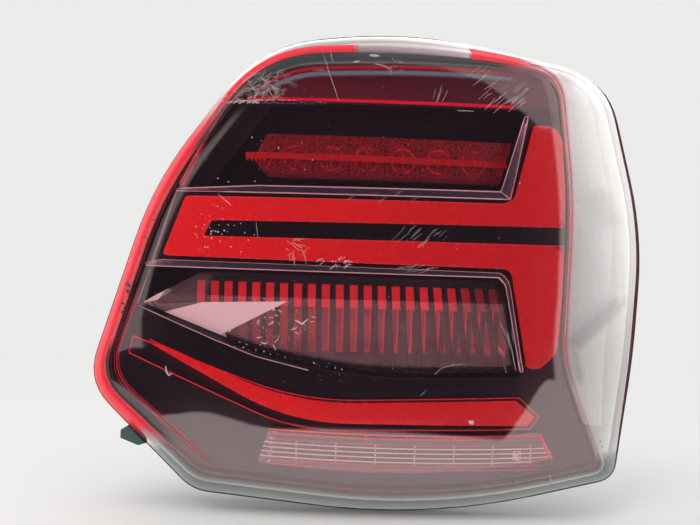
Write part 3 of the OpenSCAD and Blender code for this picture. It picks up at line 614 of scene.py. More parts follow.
def clear_lens_plastic():
    """Clear plastic of the turn lens, with painted white highlights on some of its faces and along one ridge, and
    of the fluted reverse lens below it, with painted highlights along its flutes.
    """
    f = Finish("clear_lens")
    x, _, z = f.place()
    skin = f.bump(f.noise(2.5, 3), 0.04, 0.08)
    low = z.rise(-84, -86)
    bow = ((x - 40) / 62.0) ** 2.0
    level = z - bow
    lane = ((level + 106.5) / 2.5).sum("FRACT")
    # White lines along the flute crests and the joints between them: painted highlights.
    ridge = lane.rise(0.56, 0.66) * lane.rise(0.96, 0.86) * level.rise(-105.6, -105.2) * level.rise(-95.8, -96.6)
    joint = abs(((x + 46.0) / 20.8).sum("FRACT") - 0.5).rise(0.474, 0.488) * level.rise(-95.2, -95.8)
    joint = joint * level.rise(-106.4, -105.8) * lane.rise(0.6, 0.3)
    speckle = f.cells(1.9)
    beads = abs(x + 38.5).rise(2.6, 1.8) * speckle.rise(0.52, 0.34) * 0.8
    block = abs(x - 92).rise(2.4, 2.0) * abs(level + 101).rise(2.9, 2.5) * speckle.rise(0.25, 0.5)
    white = ridge.most(joint).most(beads).most(block) * low * (f.noise(8, 3) * 0.5 + 0.7)
    # Bright white faces and a line along the ridge below them: painted highlights where the bright room is
    # mirrored, with a painted glow.
    painted_glare = f.facet([(-98.1, -29.3), (-68.6, -41.1), (-32.2, -21.4), (-77.1, -23.3)])
    painted_glare = painted_glare.most(f.facet([(-112.3, -25.7), (-101, -22.8), (-97.2, -17.8)]))
    # A grey, half-clear triangle between the bright faces.
    grey_triangle = f.facet([(-112.3, -25.9), (-98.1, -29.3), (-77.1, -23.3)]) * 0.45
    keel_glint = f.line((-112, -26), (-70, -42.3), 0.8, 0.3).most(f.line((-70, -42.3), (-46, -50.2), 0.8, 0.3)) * 0.6
    hull = z.rise(-24, -52) * f.noise(14, 3).rise(0.3, 0.7) * 0.16 * (1 - low)
    shine = painted_glare.most(keel_glint)
    specks = f.noise(1.1, 6, 0.75).rise(0.62, 0.76) * 0.10
    haze = specks.most(white * 0.95).most(low * 0.60).most(shine * 0.93).most(grey_triangle).most(hull) + 0.02
    film = f.blend(hull.rise(0.02, 0.1), (0.55, 0.50, 0.50), (0.16, 0.05, 0.12))
    film = f.blend(low, film, (0.20, 0.245, 0.225))
    film = f.blend(grey_triangle.rise(0.1, 0.4), film, (0.26, 0.25, 0.26))
    film = f.blend(white.most(shine).held(), film, (0.84, 0.86, 0.85))
    # Painted glow on those bright faces.
    glow = f.blend(painted_glare, (0, 0, 0), (0.52, 0.55, 0.55))
    body = f.mixed(
        haze.held(), f.shader("Transparent", Color=(0.95, 0.92, 0.92, 1)),
        f.shader("Principled", Base_Color=film, Roughness=0.45, Emission_Color=glow, Emission_Strength=0.35))
    return f.polished(body, skin, 0.035, f.noise(4, 4) * 0.03 + 0.015)


def stop_plastic():
    """Red stop lens with fine pillows, painted light in a ring, a core and spokes in front of each bowl, and a
    painted glow over it all.
    """
    f = Finish("stop_red")
    x, _, z = f.place()
    skin = f.bump(f.cells(1.5), 0.3, 0.4)
    dx = (((x + 31.0 + 9.6) / 19.2).sum("FRACT") - 0.5) * 19.2
    dz = z - 55.4
    away = (dx * dx + dz * dz).sum("SQRT")
    uneven = f.noise(4.5, 3, 0.6).rise(0.38, 0.62)
    # A ring, a core and spokes in front of each bowl: painted light of the bright bowls behind.
    ring = away.rise(7.2, 6.6) * away.rise(5.4, 6.0) * uneven
    core = away.rise(2.6, 1.8) * uneven
    spokes = abs(dx).rise(0.5, 0.25) * away.rise(5.4, 4.8)
    divider = abs(dx).rise(9.1, 9.4)
    pillows = f.cells(1.7).rise(0.2, 0.62)
    bright = ring.most(core * 0.9).most(spokes * 0.6).most(pillows * 0.30)
    shade = f.blend(bright, (0.075, 0.001, 0.002), (0.78, 0.008, 0.014))
    shade = f.blend(divider * 0.7, shade, (0.05, 0.001, 0.002))
    shade = f.blend(z.rise(47.5, 45.5) * 0.8, shade, (0.10, 0.002, 0.004))
    # The whole lens shines by itself in these colours: a painted glow.
    body = f.mixed(
        f.noise(9, 3) * 0.15 + 0.62, f.shader("Transparent", Color=(0.80, 0.03, 0.035, 1)),
        f.shader("Principled", Base_Color=shade, Roughness=0.35, Emission_Color=shade, Emission_Strength=0.30))
    return f.polished(body, skin, 0.045, f.noise(3, 4) * 0.06 + 0.08)


def fin_plastic():
    """Red fins with a painted glow: painted highlights on their front edges in the upper row; in the row behind
    dark, with thin painted glints and faint painted light in columns.
    """
    f = Finish("fin_red")
    x, y, z = f.place()
    under = y - (AXIS_Y - FACE_ACROSS) - z * z / (2 * FACE_RADIUS) - (x + CROWN) * (x + CROWN) / (2 * FACE_ACROSS)
    upper = under.rise(22.6, 21.2) * z.rise(-25.4, -23.6)
    lower = under.rise(30.5, 28.4) * z.rise(-24.2, -25.6)
    offset = (((x + 79.0) / 7.4 + 0.5).sum("FRACT") - 0.5) * 7.4
    column = abs(offset).rise(2.3, 1.9)
    # Thin bright lines and feet in the row behind: painted glints.
    thread = lower * abs(offset - 2.0).rise(0.5, 0.25) * x.rise(-40, -8)
    feet = lower * abs(z + 47.0 - x * 0.02).rise(0.7, 0.35) * column * x.rise(-20, 0)
    thread = thread.most(feet) * z.rise(-48.4, -47.8)
    # Bright front edges of the upper row, strongest in the middle and weaker to both ends: painted highlights.
    strength = x.rise(-96, -52) * 0.45 + 0.55
    strength = strength * (x.rise(72, 44) * 0.72 + 0.28)
    lit = (upper * strength * (f.noise(6, 3) * 0.3 + 0.82)).held()
    haze = lower * f.noise(11, 3).rise(0.35, 0.7)
    shade = f.blend(lower, (0.010, 0.001, 0.003), (0.012, 0.010, 0.026))
    # Faint red columns in the row behind: painted light.
    strip = lower * column * (haze * 0.5 + 0.5) * z.rise(-48.4, -47.8)
    shade = f.blend(strip, shade, (0.50, 0.010, 0.045))
    shade = f.blend(thread.held(), shade, (0.80, 0.008, 0.030))
    shade = f.blend(lit, shade, (0.88, 0.010, 0.022))
    glow = f.blend(lit.most(thread * 0.8).most(strip * 0.30).held(), (0, 0, 0), (0.95, 0.008, 0.016))
    return f.done(f.shader(
        "Principled", Base_Color=shade, Roughness=f.noise(5, 4) * 0.1 + 0.26, IOR=1.49,
        Normal=f.bump(f.noise(1.6, 3), 0.05, 0.1), Emission_Color=glow, Emission_Strength=0.42))


def bezel_plastic():
    """Gloss black plate, dark wine red above the upper window, with a painted red glow along that window and
    painted pale highlights on the window edges.
    """
    f = Finish("bezel_black")
    x, _, z = f.place()
    top = z.rise(84.6, 85.6) * x.rise(-62, -46)
    # Red lines along the top and the left of the upper window: a painted glow.
    red_glow_line = f.line((-56, 84.9), (84, 85.4), 1.7, 0.3) * (f.noise(3, 4) * 0.5 + 0.75)
    left_glow_line = f.line((-71.0, 79.5), (-89.5, 38.5), 2.6, 0.5) * z.rise(82, 76)
    # Pale lines along the window edges and a grey line lower down: painted highlights.
    pale = f.line((-66.6, 82.6), (-82.4, 57.0), 0.9, 0.25).most(f.line((-66.4, 83.5), (-49, 84.1), 1.0, 0.3))
    pale = pale.most(f.line((-49, 84.2), (-28, 84.4), 0.8, 0.25) * f.noise(1.1, 2).rise(0.5, 0.62))
    grey_edge = f.line((-92, 36), (-104, -2), 1.0, 0.3) * 0.5
    wine = f.blend(((x + 60) / 150.0).held(), (0.190, 0.020, 0.040), (0.085, 0.012, 0.024))
    shade = f.blend(f.noise(16, 4), (0.0016, 0.0022, 0.0034), (0.0036, 0.0044, 0.0064))
    shade = f.blend(top * (f.noise(22, 3) * 0.25 + 0.75), shade, wine)
    shade = f.blend((red_glow_line.most(left_glow_line * 0.75)).held(), shade, (0.72, 0.006, 0.045))
    shade = f.blend(pale.most(grey_edge).held(), shade, (0.82, 0.72, 0.74))
    glow = f.blend(red_glow_line.most(left_glow_line * 0.6).held(), (0, 0, 0), (0.8, 0.0, 0.05))
    return f.done(f.shader(
        "Principled", Base_Color=shade, Roughness=f.noise(4, 5) * 0.08 + 0.16, IOR=1.5,
        Normal=f.bump(f.noise(0.8, 3), 0.04, 0.05), Emission_Color=glow, Emission_Strength=0.25))


def housing_plastic():
    """Black moulded shell with a fine skin, thin dust, and a grey green ear at the lower left."""
    f = Finish("housing_plastic")
    x, _, z = f.place()
    clouds, fine = f.noise(18, 3), f.noise(0.7, 2)
    shade = f.blend(clouds, (0.019, 0.021, 0.022), (0.028, 0.030, 0.032))
    shade = f.blend(f.noise(2.2, 5, 0.7).rise(0.62, 0.75) * 0.25, shade, (0.45, 0.44, 0.42))
    shade = f.blend((x + z).rise(-211.5, -212.0), shade, (0.062, 0.115, 0.100))
    return f.done(f.shader(
        "Principled", Base_Color=shade, Roughness=f.noise(7, 4) * 0.16 + 0.42, Normal=f.bump(fine, 0.35, 0.05)))


def mark(name, colour, thin, thick):
    """Dry film of dust, dirt or a scratch, uneven along its length."""
    f = Finish(name)
    cover = f.noise(1.6, 4, 0.7) * (thick - thin) + thin
    shade = f.blend(f.noise(0.9, 3), tuple(c * 0.8 for c in colour), colour)
    return f.done(f.mixed(
        cover.held(), f.shader("Transparent", Color=(1, 1, 1, 1)),
        f.shader("Principled", Base_Color=shade, Roughness=f.noise(2, 3) * 0.2 + 0.5)))


def foam(name):
    f = Finish(name)
    pores = f.cells(0.9)
    shade = f.blend(pores.rise(0.1, 0.7), (0.010, 0.010, 0.010), (0.035, 0.034, 0.033))
    shade = f.blend(f.noise(14, 4).rise(0.6, 0.8) * 0.3, shade, (0.12, 0.115, 0.105))
    return f.done(f.shader("Principled", Base_Color=shade, Roughness=f.noise(2, 3) * 0.1 + 0.85,
                           Normal=f.bump(pores, 0.6, 0.35)))


def board_lacquer():
    f = Finish("board_green")
    track = f.node("TexBrick", {"offset": 0.5}, {
        "Vector": f.spot(), "Scale": 0.25, "Mortar Size": 0.02, "Color1": (1, 1, 1, 1),
        "Color2": (0.7, 0.7, 0.7, 1), "Mortar": (0, 0, 0, 1)}, 1)
    shade = f.blend(track * 0.6, (0.012, 0.085, 0.035), (0.03, 0.16, 0.07))
    return f.done(f.shader("Principled", Base_Color=shade, Roughness=f.noise(5, 3) * 0.1 + 0.3,
                           Normal=f.bump(track, 0.1, 0.05)))


def flat_cable():
    f = Finish("cable_film")
    x = f.place()[0]
    lanes = (x * 1.6).sum("SINE").rise(-0.2, 0.5)
    shade = f.blend(lanes, (0.30, 0.13, 0.03), (0.50, 0.27, 0.09))
    return f.done(f.shader("Principled", Base_Color=shade, Roughness=f.noise(6, 3) * 0.1 + 0.35,
                           Normal=f.bump(lanes, 0.15, 0.1)))


FINISHES = {
    "smoked_red_lens": lens_plastic(),
    "housing_plastic": housing_plastic(),
    "bezel_black": bezel_plastic(),
    "side_black": moulded("side_black", (0.012, 0.010, 0.012), 0.3, 0.1, 0.8),
    "chamber_black": moulded("chamber_black", (0.0012, 0.0020, 0.0034), 0.5, 0.2, 0.8, vary=0.3),
    "light_box_white": moulded("light_box_white", (0.80, 0.80, 0.78), 0.5, 0.1, 0.8, vary=0.04),
    "dark_chrome": metal("dark_chrome", (0.62, 0.50, 0.54), 0.16),
    "silver_trim": metal("silver_trim", (0.66, 0.60, 0.62), 0.14),
    "stop_red": stop_plastic(),
    "bar_red": red_guide("bar_red", (0.62, 0.006, 0.010), (0.50, 0.005, 0.009), 0.06),
    "reflector_metal": metal("reflector_metal", (0.82, 0.82, 0.83), 0.22),
    "board_green": board_lacquer(),
    "led_body": moulded("led_body", (0.72, 0.62, 0.30), 0.35, 0.1, 0.5, vary=0.06),
    "guide_red": red_guide("guide_red", (0.86, 0.005, 0.007), (0.62, 0.006, 0.009), 0.22),
    "clear_lens": clear_lens_plastic(),
    "fin_red": fin_plastic(),
    "prism_dark": smoked_prism(),
    "carrier_grey": moulded("carrier_grey", (0.10, 0.10, 0.105), 0.5),
    "plated_steel": metal("plated_steel", (0.62, 0.60, 0.55), 0.30, 0.2),
    "cable_film": flat_cable(),
    "contact_brass": metal("contact_brass", (0.80, 0.60, 0.28), 0.25),
    "seal_foam": foam("seal_foam"),
    "cap_rubber": moulded("cap_rubber", (0.02, 0.02, 0.021), 0.7, 0.4, 0.5),
    "bright_edge": metal("bright_edge", (0.95, 0.90, 0.92), 0.30),
    "scratch_white": mark("scratch_white", (0.80, 0.70, 0.71), 0.10, 0.50),
    "dust_grey": mark("dust_grey", (0.80, 0.76, 0.74), 0.25, 0.75),
    "dried_drop": mark("dried_drop", (0.84, 0.82, 0.83), 0.30, 0.75),
    "dirt_dark": mark("dirt_dark", (0.035, 0.030, 0.028), 0.6, 1.0),
}
SLOT_NODES = {
    "smoked_red_lens": ["outer_lens"], "housing_plastic": ["housing", "connector_socket", "locating_pins"],
    "bezel_black": ["bezel"], "side_black": ["side_bezel"], "chamber_black": ["upper_chamber", "lower_chamber"],
    "light_box_white": ["tail_light_box"], "dark_chrome": ["upper_window_trim"],
    "silver_trim": ["lower_window_trim"], "stop_red": ["stop_lens"], "bar_red": ["stop_light_bar"],
    "reflector_metal": ["stop_reflector", "reverse_tray"],
    "board_green": ["stop_board", "tail_board", "turn_board", "reverse_board"],
    "led_body": ["stop_leds", "tail_leds", "turn_leds", "reverse_leds"],
    "guide_red": ["tail_light_guide", "lower_light_guide"], "clear_lens": ["turn_lens", "reverse_lens"],
    "fin_red": ["turn_fins"], "prism_dark": ["lower_guide_carrier"], "carrier_grey": ["lamp_carrier"],
    "plated_steel": ["carrier_screws", "fixing_studs"], "cable_film": ["inner_wires"],
    "contact_brass": ["contact_pins"], "seal_foam": ["stud_seals", "perimeter_seal"],
    "cap_rubber": ["vent_caps"]}
for slot_name, node_names in SLOT_NODES.items():
    for node_name in node_names:
        cad_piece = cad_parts[node_name]
        if not cad_piece.data.materials:
            cad_piece.data.materials.append(FINISHES[slot_name])
        for cad_slot in cad_piece.material_slots:
            cad_slot.material = FINISHES[slot_name]


# ---------------------------------------------------------------- outer lens

CURVE_STEPS, SIDE_STEPS = 14, 9
EDGE_LINE = rounded(EDGE_CORNERS, CURVE_STEPS, SIDE_STEPS)
RIM_LINE = rounded(RIM_CORNERS, CURVE_STEPS, SIDE_STEPS)
SOFT = EDGE_LINE[:, 1:2]
EDGE_XZ = EDGE_LINE[:, [0, 2]]


def on_face(xz, under=0.0):
    return np.stack([xz[:, 0], face_y(xz[:, 0], xz[:, 1], under), xz[:, 1]], 1)


LENS_SET = cad_box[0][1] / MM + DEPTH + 0.10
EDGE = on_face(EDGE_XZ)


def side_ring(t):
    """Ring on the side of the lens, t from 0 at the crease to 1 at the rim."""
    along = unit(RIM_LINE - EDGE)
    end = EDGE + SOFT * along
    outward = np.stack([EDGE_XZ[:, 0] - MIDDLE[0], np.zeros(len(EDGE_XZ)), EDGE_XZ[:, 1] - MIDDLE[1]], 1)
    outward = unit(outward)
    swell_way = unit(outward - np.sum(outward * along, 1, keepdims=True) * along)
    length = np.linalg.norm(RIM_LINE - end, axis=1, keepdims=True)
    return end + (RIM_LINE - end) * t + swell_way * SKIRT_SWELL * length * 4 * t * (1 - t)


def lens_rings():
    """Rings from the middle of the face to the rim, each with its place across the lens from 0 to 1."""
    near = EDGE_XZ + SOFT * unit(MIDDLE - EDGE_XZ)
    rings, across = [], []
    for t in (0.06, 0.14, 0.24, 0.34, 0.44, 0.54, 0.64, 0.73, 0.81, 0.88, 0.94):
        rings.append(on_face(MIDDLE + (near - MIDDLE) * t))
        across.append(0.5 * t)
    start, end = on_face(near), side_ring(0.0)
    for t in np.linspace(0, 1, 12):
        rings.append((1 - t) ** 2 * start + 2 * t * (1 - t) * EDGE + t * t * end)
        across.append(0.5 + 0.1 * t)
    for t in np.linspace(0, 1, 13)[1:]:
        rings.append(side_ring(t))
        across.append(0.6 + 0.4 * t)
    return rings, across


def ring_normals(rings):
    out = []
    for k in range(len(rings)):
        up, down = rings[min(k + 1, len(rings) - 1)], rings[max(k - 1, 0)]
        out.append(unit(np.cross(up - down, np.roll(rings[k], -1, 0) - np.roll(rings[k], 1, 0))))
    return out


def outer_lens():
    rings, across = lens_rings()
    inner = [ring - LENS_WALL * n for ring, n in zip(rings, ring_normals(rings))]
    count, rows = len(EDGE), rings + inner[::-1]
    levels = across + across[::-1]
    points = [p + (0, LENS_SET, 0) for ring in rows for p in ring]
    first, last = len(points), len(points) + 1
    points += [on_face(MIDDLE[None])[0] + (0, LENS_SET + d, 0) for d in (0, LENS_WALL)]
    faces, corners = [], []
    for k in range(len(rows) - 1):
        for i in range(count):
            j = (i + 1) % count
            faces.append((k * count + i, k * count + j, (k + 1) * count + j, (k + 1) * count + i))
            u, w = i / count, (i + 1) / count
            corners += [(u, levels[k]), (w, levels[k]), (w, levels[k + 1]), (u, levels[k + 1])]
    for i in range(count):
        j = (i + 1) % count
        faces += [(first, j, i), ((len(rows) - 1) * count + i, (len(rows) - 1) * count + j, last)]
        corners += [(i / count, 0), (i / count, levels[0]), (i / count, levels[0])] * 2
    piece = piece_of("lens_shell", points, faces, "smoked_red_lens", "outer_lens",
                     outward=False)
    layer = piece.data.uv_layers.new(name="Lens")
    layer.data.foreach_set("uv", [value for corner in corners for value in corner])
    volume = bmesh.new()
    volume.from_mesh(piece.data)
    if volume.calc_volume(signed=True) < 0:
        bmesh.ops.reverse_faces(volume, faces=volume.faces)
        volume.to_mesh(piece.data)
    volume.free()
    return piece


outer_lens()

# ---------------------------------------------------------------- bezel, guides and trims

window_upper, window_lower = outline(UPPER_WINDOW), outline(LOWER_WINDOW)
bezel_edge = finer(counter_clockwise(inset(counter_clockwise(EDGE_XZ), 3.0)), 5)
bezel_holes = [window_upper, window_lower, outline(grown(TAIL_OUTLINE, -3)), outline(grown(REVERSE_OUTLINE, -3))]
posts = []
for place in POST_PLACES:
    posts.append(rod_mesh(place, 3.5, float(face_y(place[0], place[1], BEZEL_FRONT)) + 1.2, CARRIER_FRONT))
    posts.append(rod_mesh(place, 1.6, CARRIER_FRONT - 1, CARRIER_BACK + 0.5, 16, 0.2))
plate("bezel_plate", [bezel_edge] + bezel_holes, under_face(BEZEL_FRONT), under_face(BEZEL_BACK),
      "bezel_black", "bezel", posts, round_by=0.55, cell=7)

plate("tail_guide", [outline(TAIL_OUTLINE, 8)], under_face(GUIDE_FRONT), under_face(GUIDE_BACK),
      "guide_red", "tail_light_guide", round_by=0.6, cell=6)
plate("band_guide", [outline(BAND_OUTLINE, 16)], under_face(GUIDE_FRONT), under_face(GUIDE_BACK),
      "guide_red", "lower_light_guide", round_by=0.45, cell=5)
plate("band_prism", [outline(BAND_CARRIER, 14), outline(grown(BAND_OUTLINE, 0.3), 16)],
      under_face(GUIDE_BACK - 2), under_face(GUIDE_BACK), "prism_dark",
      "lower_guide_carrier", round_by=0.3, cell=5)
plate("upper_trim", [outline(UPPER_TRIM)], under_face(BEZEL_FRONT - 1.8), under_face(BEZEL_FRONT - 0.2),
      "dark_chrome", "upper_window_trim", round_by=0.7, cell=4, steps=4)
plate("lower_trim", [outline(LOWER_TRIM)], under_face(BEZEL_FRONT - 1.8), under_face(BEZEL_FRONT - 0.2),
      "silver_trim", "lower_window_trim", round_by=0.6, cell=4, steps=4)


# ---------------------------------------------------------------- thin bright edges

def rail_mesh(path, under, radius, around=8):
    """A thin round bar along a line of [x, z] that lies that far under the lens face."""
    path = np.array(path, float)
    parts = [path[0]]
    for a, b in zip(path, path[1:]):
        steps = max(1, math.ceil(np.linalg.norm(b - a) / 6))
        parts.extend(a + (b - a) * t for t in np.arange(1, steps + 1) / steps)
    path = np.array(parts)
    spots = np.stack([path[:, 0], face_y(path[:, 0], path[:, 1], under), path[:, 1]], 1)
    along = unit(np.gradient(spots, axis=0))
    across = unit(np.cross(along, np.array([0.0, 1.0, 0.0])))
    above = np.cross(across, along)
    points, faces = [], []
    for k in range(len(spots)):
        for a in np.arange(around) / around * 2 * math.pi:
            points.append(spots[k] + radius * (math.cos(a) * across[k] + math.sin(a) * above[k]))
    for k in range(len(spots) - 1):
        faces += band_faces(k * around, (k + 1) * around, around)
    faces.append(tuple(range(around - 1, -1, -1)))
    faces.append(tuple(range((len(spots) - 1) * around, len(spots) * around)))
    return points, faces


def joined(meshes):
    points, faces = [], []
    for more_points, more_faces in meshes:
        start = len(points)
        points.extend(more_points)
        faces.extend(tuple(i + start for i in f) for f in more_faces)
    return points, faces


def rails(name, lines, slot, finish=None):
    piece_of(name, *joined([rail_mesh(*line) for line in lines]), slot, finish=finish)


carrier_edge = [(x, z) for x, z in rounded(grown(BAND_CARRIER, -0.5), 10)]
carrier_edge.append(carrier_edge[0])
rails("carrier_edge", [(carrier_edge, GUIDE_BACK - 2, 0.28)], "guide_red")

BOW_MIDDLE, BOW_REACH = 40.0, 62.0
REVERSE_LINES = [(-90.2, 0.5), (-92.3, 0.32), (-95.2, 0.42), (-106.6, 0.22), (-108.9, 0.22)]  # height, radius
FRAME_TOP, FRAME_FOOT = -90.2, -95.2
FRAME_TIES = (10, 31.5, 50, 57)


def bowed(x, height):
    """A spot on the reverse lamp's frame, which rises to both sides."""
    return x, height + ((x - BOW_MIDDLE) / BOW_REACH) ** 2


reverse_edges = [([bowed(x, height) for x in np.linspace(-40, 104, 13)], GUIDE_FRONT, radius)
                 for height, radius in REVERSE_LINES]
reverse_edges += [([bowed(x, FRAME_FOOT), (x + 1.5, bowed(x, FRAME_TOP)[1])], GUIDE_FRONT, 0.3)
                  for x in FRAME_TIES]
reverse_edges += [([(104, -88.6), (110.5, -101.5)], GUIDE_FRONT, 1.0),
                  ([(110.5, -101.5), (98, -104.5)], GUIDE_FRONT, 0.3)]
rails("reverse_edges", reverse_edges, "guide_red")
TRIM_FRONT = BEZEL_FRONT - 1.8
rails("trim_edges", [
    ([(-93, 36.0), (-49, 38.6), (78.2, 39.6), (90.4, 80.4)], TRIM_FRONT, 0.30),
    ([(-70, 34.9), (83.4, 35.7), (92.4, 80.4)], TRIM_FRONT, 0.34),
    ([(78.2, 39.6), (83.4, 35.7)], TRIM_FRONT, 0.25),
    ([(-107.5, -3.4), (-107, -4.9), (78.3, -5.5), (81.9, -9.4), (91.6, -55)], TRIM_FRONT, 0.26)],
    "silver_trim", "bright_edge")
rails("window_edges", [
    ([(-66.5, 83.4), (-80.5, 58.5), (-91.3, 38.4)], BEZEL_FRONT, 0.24),
    ([(-66.5, 83.6), (-50, 84.1)], BEZEL_FRONT, 0.55),
    ([(-104.5, -4.2), (-111.6, -25.4)], BEZEL_FRONT, 0.2),
    ([(-111.5, -26), (-70, -42.6), (-48, -50.6), (-20, -57)], BEZEL_FRONT, 0.26)],
    "silver_trim", "bright_edge")


# ---------------------------------------------------------------- scratches, dust, dirt and drops on the lens

draw = random.Random(41)
lens_mesh = bpy.data.objects["lens_shell"].data
lens_skin = BVHTree.FromPolygons(
    [v.co for v in lens_mesh.vertices], [tuple(p.vertices) for p in lens_mesh.polygons])


def on_lens(px, py, above):
    """The spot that the camera sees on the lens at that pixel, raised that many millimetres above the skin."""
    way = camera_turn @ Vector((px - FRAME_MIDDLE[0], FRAME_MIDDLE[1] - py, -FOCAL_PIXELS))
    spot, out, _, _ = lens_skin.ray_cast(camera.location, way)
    if spot is None:
        return None
    if out.dot(way) > 0:
        out = -out
    return np.array(spot + out * (above * MM)) / MM


def stroke(path, width, above=0.03, below=-0.05):
    """A thin raised line over pixels, tapered to its ends, closed on all sides."""
    path = np.array(path, float)
    fine = [path[0]]
    for a, b in zip(path, path[1:]):
        steps = max(2, math.ceil(np.linalg.norm(b - a) / 3))
        fine.extend(a + (b - a) * t for t in np.arange(1, steps + 1) / steps)
    fine = np.array(fine)
    along = unit(np.gradient(fine, axis=0))
    side = np.stack([-along[:, 1], along[:, 0]], 1)
    rows = []
    for k, spot in enumerate(fine):
        half = width / 2 * (0.25 + 0.75 * math.sin(math.pi * (k + 0.5) / len(fine)) ** 0.5)
        left, right = spot + side[k] * half, spot - side[k] * half
        row = [on_lens(*left, above), on_lens(*right, above),
               on_lens(*right, below), on_lens(*left, below)]
        if any(p is None for p in row):
            return [], []
        rows.append(row)
    points = [p for row in rows for p in row]
    faces = [(3, 2, 1, 0), tuple(len(points) - 4 + i for i in range(4))]
    for k in range(len(rows) - 1):
        faces += band_faces(4 * k, 4 * k + 4, 4)
    return points, faces


def grain(px, py, size, height=0.08, stretch=1.0, turn=0.0, around=7):
    """A small crumb or drop with an uneven outline, its foot sunk in the skin."""
    rim = []
    for i in range(around):
        a, r = 2 * math.pi * i / around, size * draw.uniform(0.7, 1.15)
        u, v = r * stretch * math.cos(a), r * math.sin(a)
        rim.append((px + u * math.cos(turn) - v * math.sin(turn), py + u * math.sin(turn) + v * math.cos(turn)))
    feet = [on_lens(*spot, -0.05) for spot in rim]
    shoulders = [on_lens(px + (u - px) * 0.72, py + (v - py) * 0.72, height * 0.8) for u, v in rim]
    top = on_lens(px, py, height)
    if any(p is None for p in feet + shoulders + [top]):
        return [], []
    faces = [tuple(range(around))]
    for i in range(around):
        j = (i + 1) % around
        faces += [(i, j, around + j, around + i), (around + i, around + j, 2 * around)]
    return feet + shoulders + [top], faces


def somewhere(centre, reach):
    a, r = draw.uniform(0, 2 * math.pi), math.sqrt(draw.random())
    return centre[0] + reach[0] * r * math.cos(a), centre[1] + reach[1] * r * math.sin(a)


def scratches(centre, reach, count, length, lean, width):
    out = []
    for _ in range(count):
        spot, a = somewhere(centre, reach), math.radians(draw.uniform(*lean))
        half, bow = draw.uniform(*length) / 2, draw.uniform(-0.12, 0.12)
        step = np.array([math.cos(a), -math.sin(a)]) * half
        bend = np.array([-step[1], step[0]]) * bow
        out.append(stroke([spot - step, spot + bend, spot + step], draw.uniform(*width)))
    return out


def crumbs(centre, reach, count, size, height=0.08, stretch=(1, 1.5)):
    return [grain(*somewhere(centre, reach), draw.uniform(*size), height, draw.uniform(*stretch),
                  draw.uniform(0, math.pi)) for _ in range(count)]


def crumbs_along(a, b, count, size, height=0.08, stray=1.0):
    out = []
    for k in range(count):
        t = (k + 0.5) / count
        out.append(grain(a[0] + (b[0] - a[0]) * t + draw.uniform(-stray, stray),
                         a[1] + (b[1] - a[1]) * t + draw.uniform(-stray, stray), draw.uniform(*size), height))
    return out


def squiggles(centre, reach, count, length, width):
    out = []
    for _ in range(count):
        spot, a = somewhere(centre, reach), draw.uniform(-0.7, 0.7)
        path, here = [], np.array(spot)
        for _ in range(4):
            path.append(here)
            a += draw.uniform(-0.9, 0.9)
            here = here + np.array([math.cos(a), math.sin(a)]) * draw.uniform(*length) / 3
        out.append(stroke(path, draw.uniform(*width), 0.10))
    return out


# Where marks lie, in pixels of the photograph's frame: middle and reach of each group. Widths and sizes are in
# pixels too, and raised heights are in millimetres.
ANY, STEEP, UPWARD = (0, 180), (60, 76), (34, 50)
SCRATCH_GROUPS = [  # middle, reach, count, length, lean in degrees, width
    ((259, 84), (17, 12), 40, (3, 12), ANY, (0.35, 0.7)), ((246, 94), (12, 7), 22, (2, 7), ANY, (0.4, 0.9)),
    ((505, 94), (20, 20), 17, (8, 26), UPWARD, (0.35, 0.6)), ((516, 104), (10, 6), 9, (6, 14), UPWARD, (0.4, 0.7)),
    ((440, 96), (6, 9), 5, (6, 14), STEEP, (0.35, 0.5)), ((478, 74), (11, 6), 6, (8, 20), (30, 44), (0.35, 0.55)),
    ((396, 66), (9, 9), 9, (3, 9), ANY, (0.4, 0.7)), ((296, 250), (13, 12), 15, (4, 13), ANY, (0.4, 0.9)),
    ((335, 263), (20, 6), 12, (3, 9), (20, 60), (0.5, 1.0)),
    ((420, 236), (24, 9), 14, (7, 22), UPWARD, (0.3, 0.5)),
    ((420, 268), (30, 4), 9, (8, 20), (-8, 30), (0.3, 0.5)),
    ((395, 195), (60, 8), 6, (5, 12), (25, 60), (0.3, 0.5)),
    ((505, 350), (9, 26), 7, (6, 18), (95, 125), (0.35, 0.6))]
LONE_SCRATCHES = [  # path, width
    ([(322, 50), (330, 75), (339, 101)], 0.8), ([(329, 46), (333, 62)], 1.1), ([(313, 70), (324, 70)], 0.5),
    ([(374, 63.5), (382, 65), (391, 69)], 1.3), ([(218, 194), (231, 205)], 0.9), ([(256, 222), (258, 238)], 0.6),
    ([(500, 322), (508, 340), (512, 352)], 0.7), ([(512, 352), (516, 371)], 0.9),
    ([(507, 330), (514, 358)], 0.5), ([(434, 375), (442, 368), (452, 365), (466, 364)], 0.7),
    ([(420, 396), (427, 390)], 0.6), ([(402, 326), (413, 345)], 0.5), ([(457, 110.5), (474, 111.2)], 0.8),
    ([(549, 474), (552, 483)], 1.6)]
DUST_GROUPS = [
    (crumbs, (221, 97), (6, 6), 20, (0.5, 1.3)), (crumbs_along, (226, 102.5), (260, 102), 34, (0.4, 1.1)),
    (crumbs_along, (262, 102.5), (330, 103.5), 26, (0.25, 0.6)), (crumbs, (222, 232), (38, 28), 46, (0.25, 0.85)),
    (crumbs, (340, 263), (18, 6), 16, (0.4, 1.0)), (crumbs, (330, 240), (190, 170), 90, (0.2, 0.45)),
    (crumbs, (255, 160), (60, 28), 12, (0.4, 0.8)),
    (crumbs_along, (354, 419), (462, 422), 27, (0.2, 0.4), 0.06, 0.5),
    (crumbs_along, (232, 345), (345, 371), 16, (0.4, 0.9)), (crumbs, (370, 375), (60, 8), 22, (0.2, 0.5))]
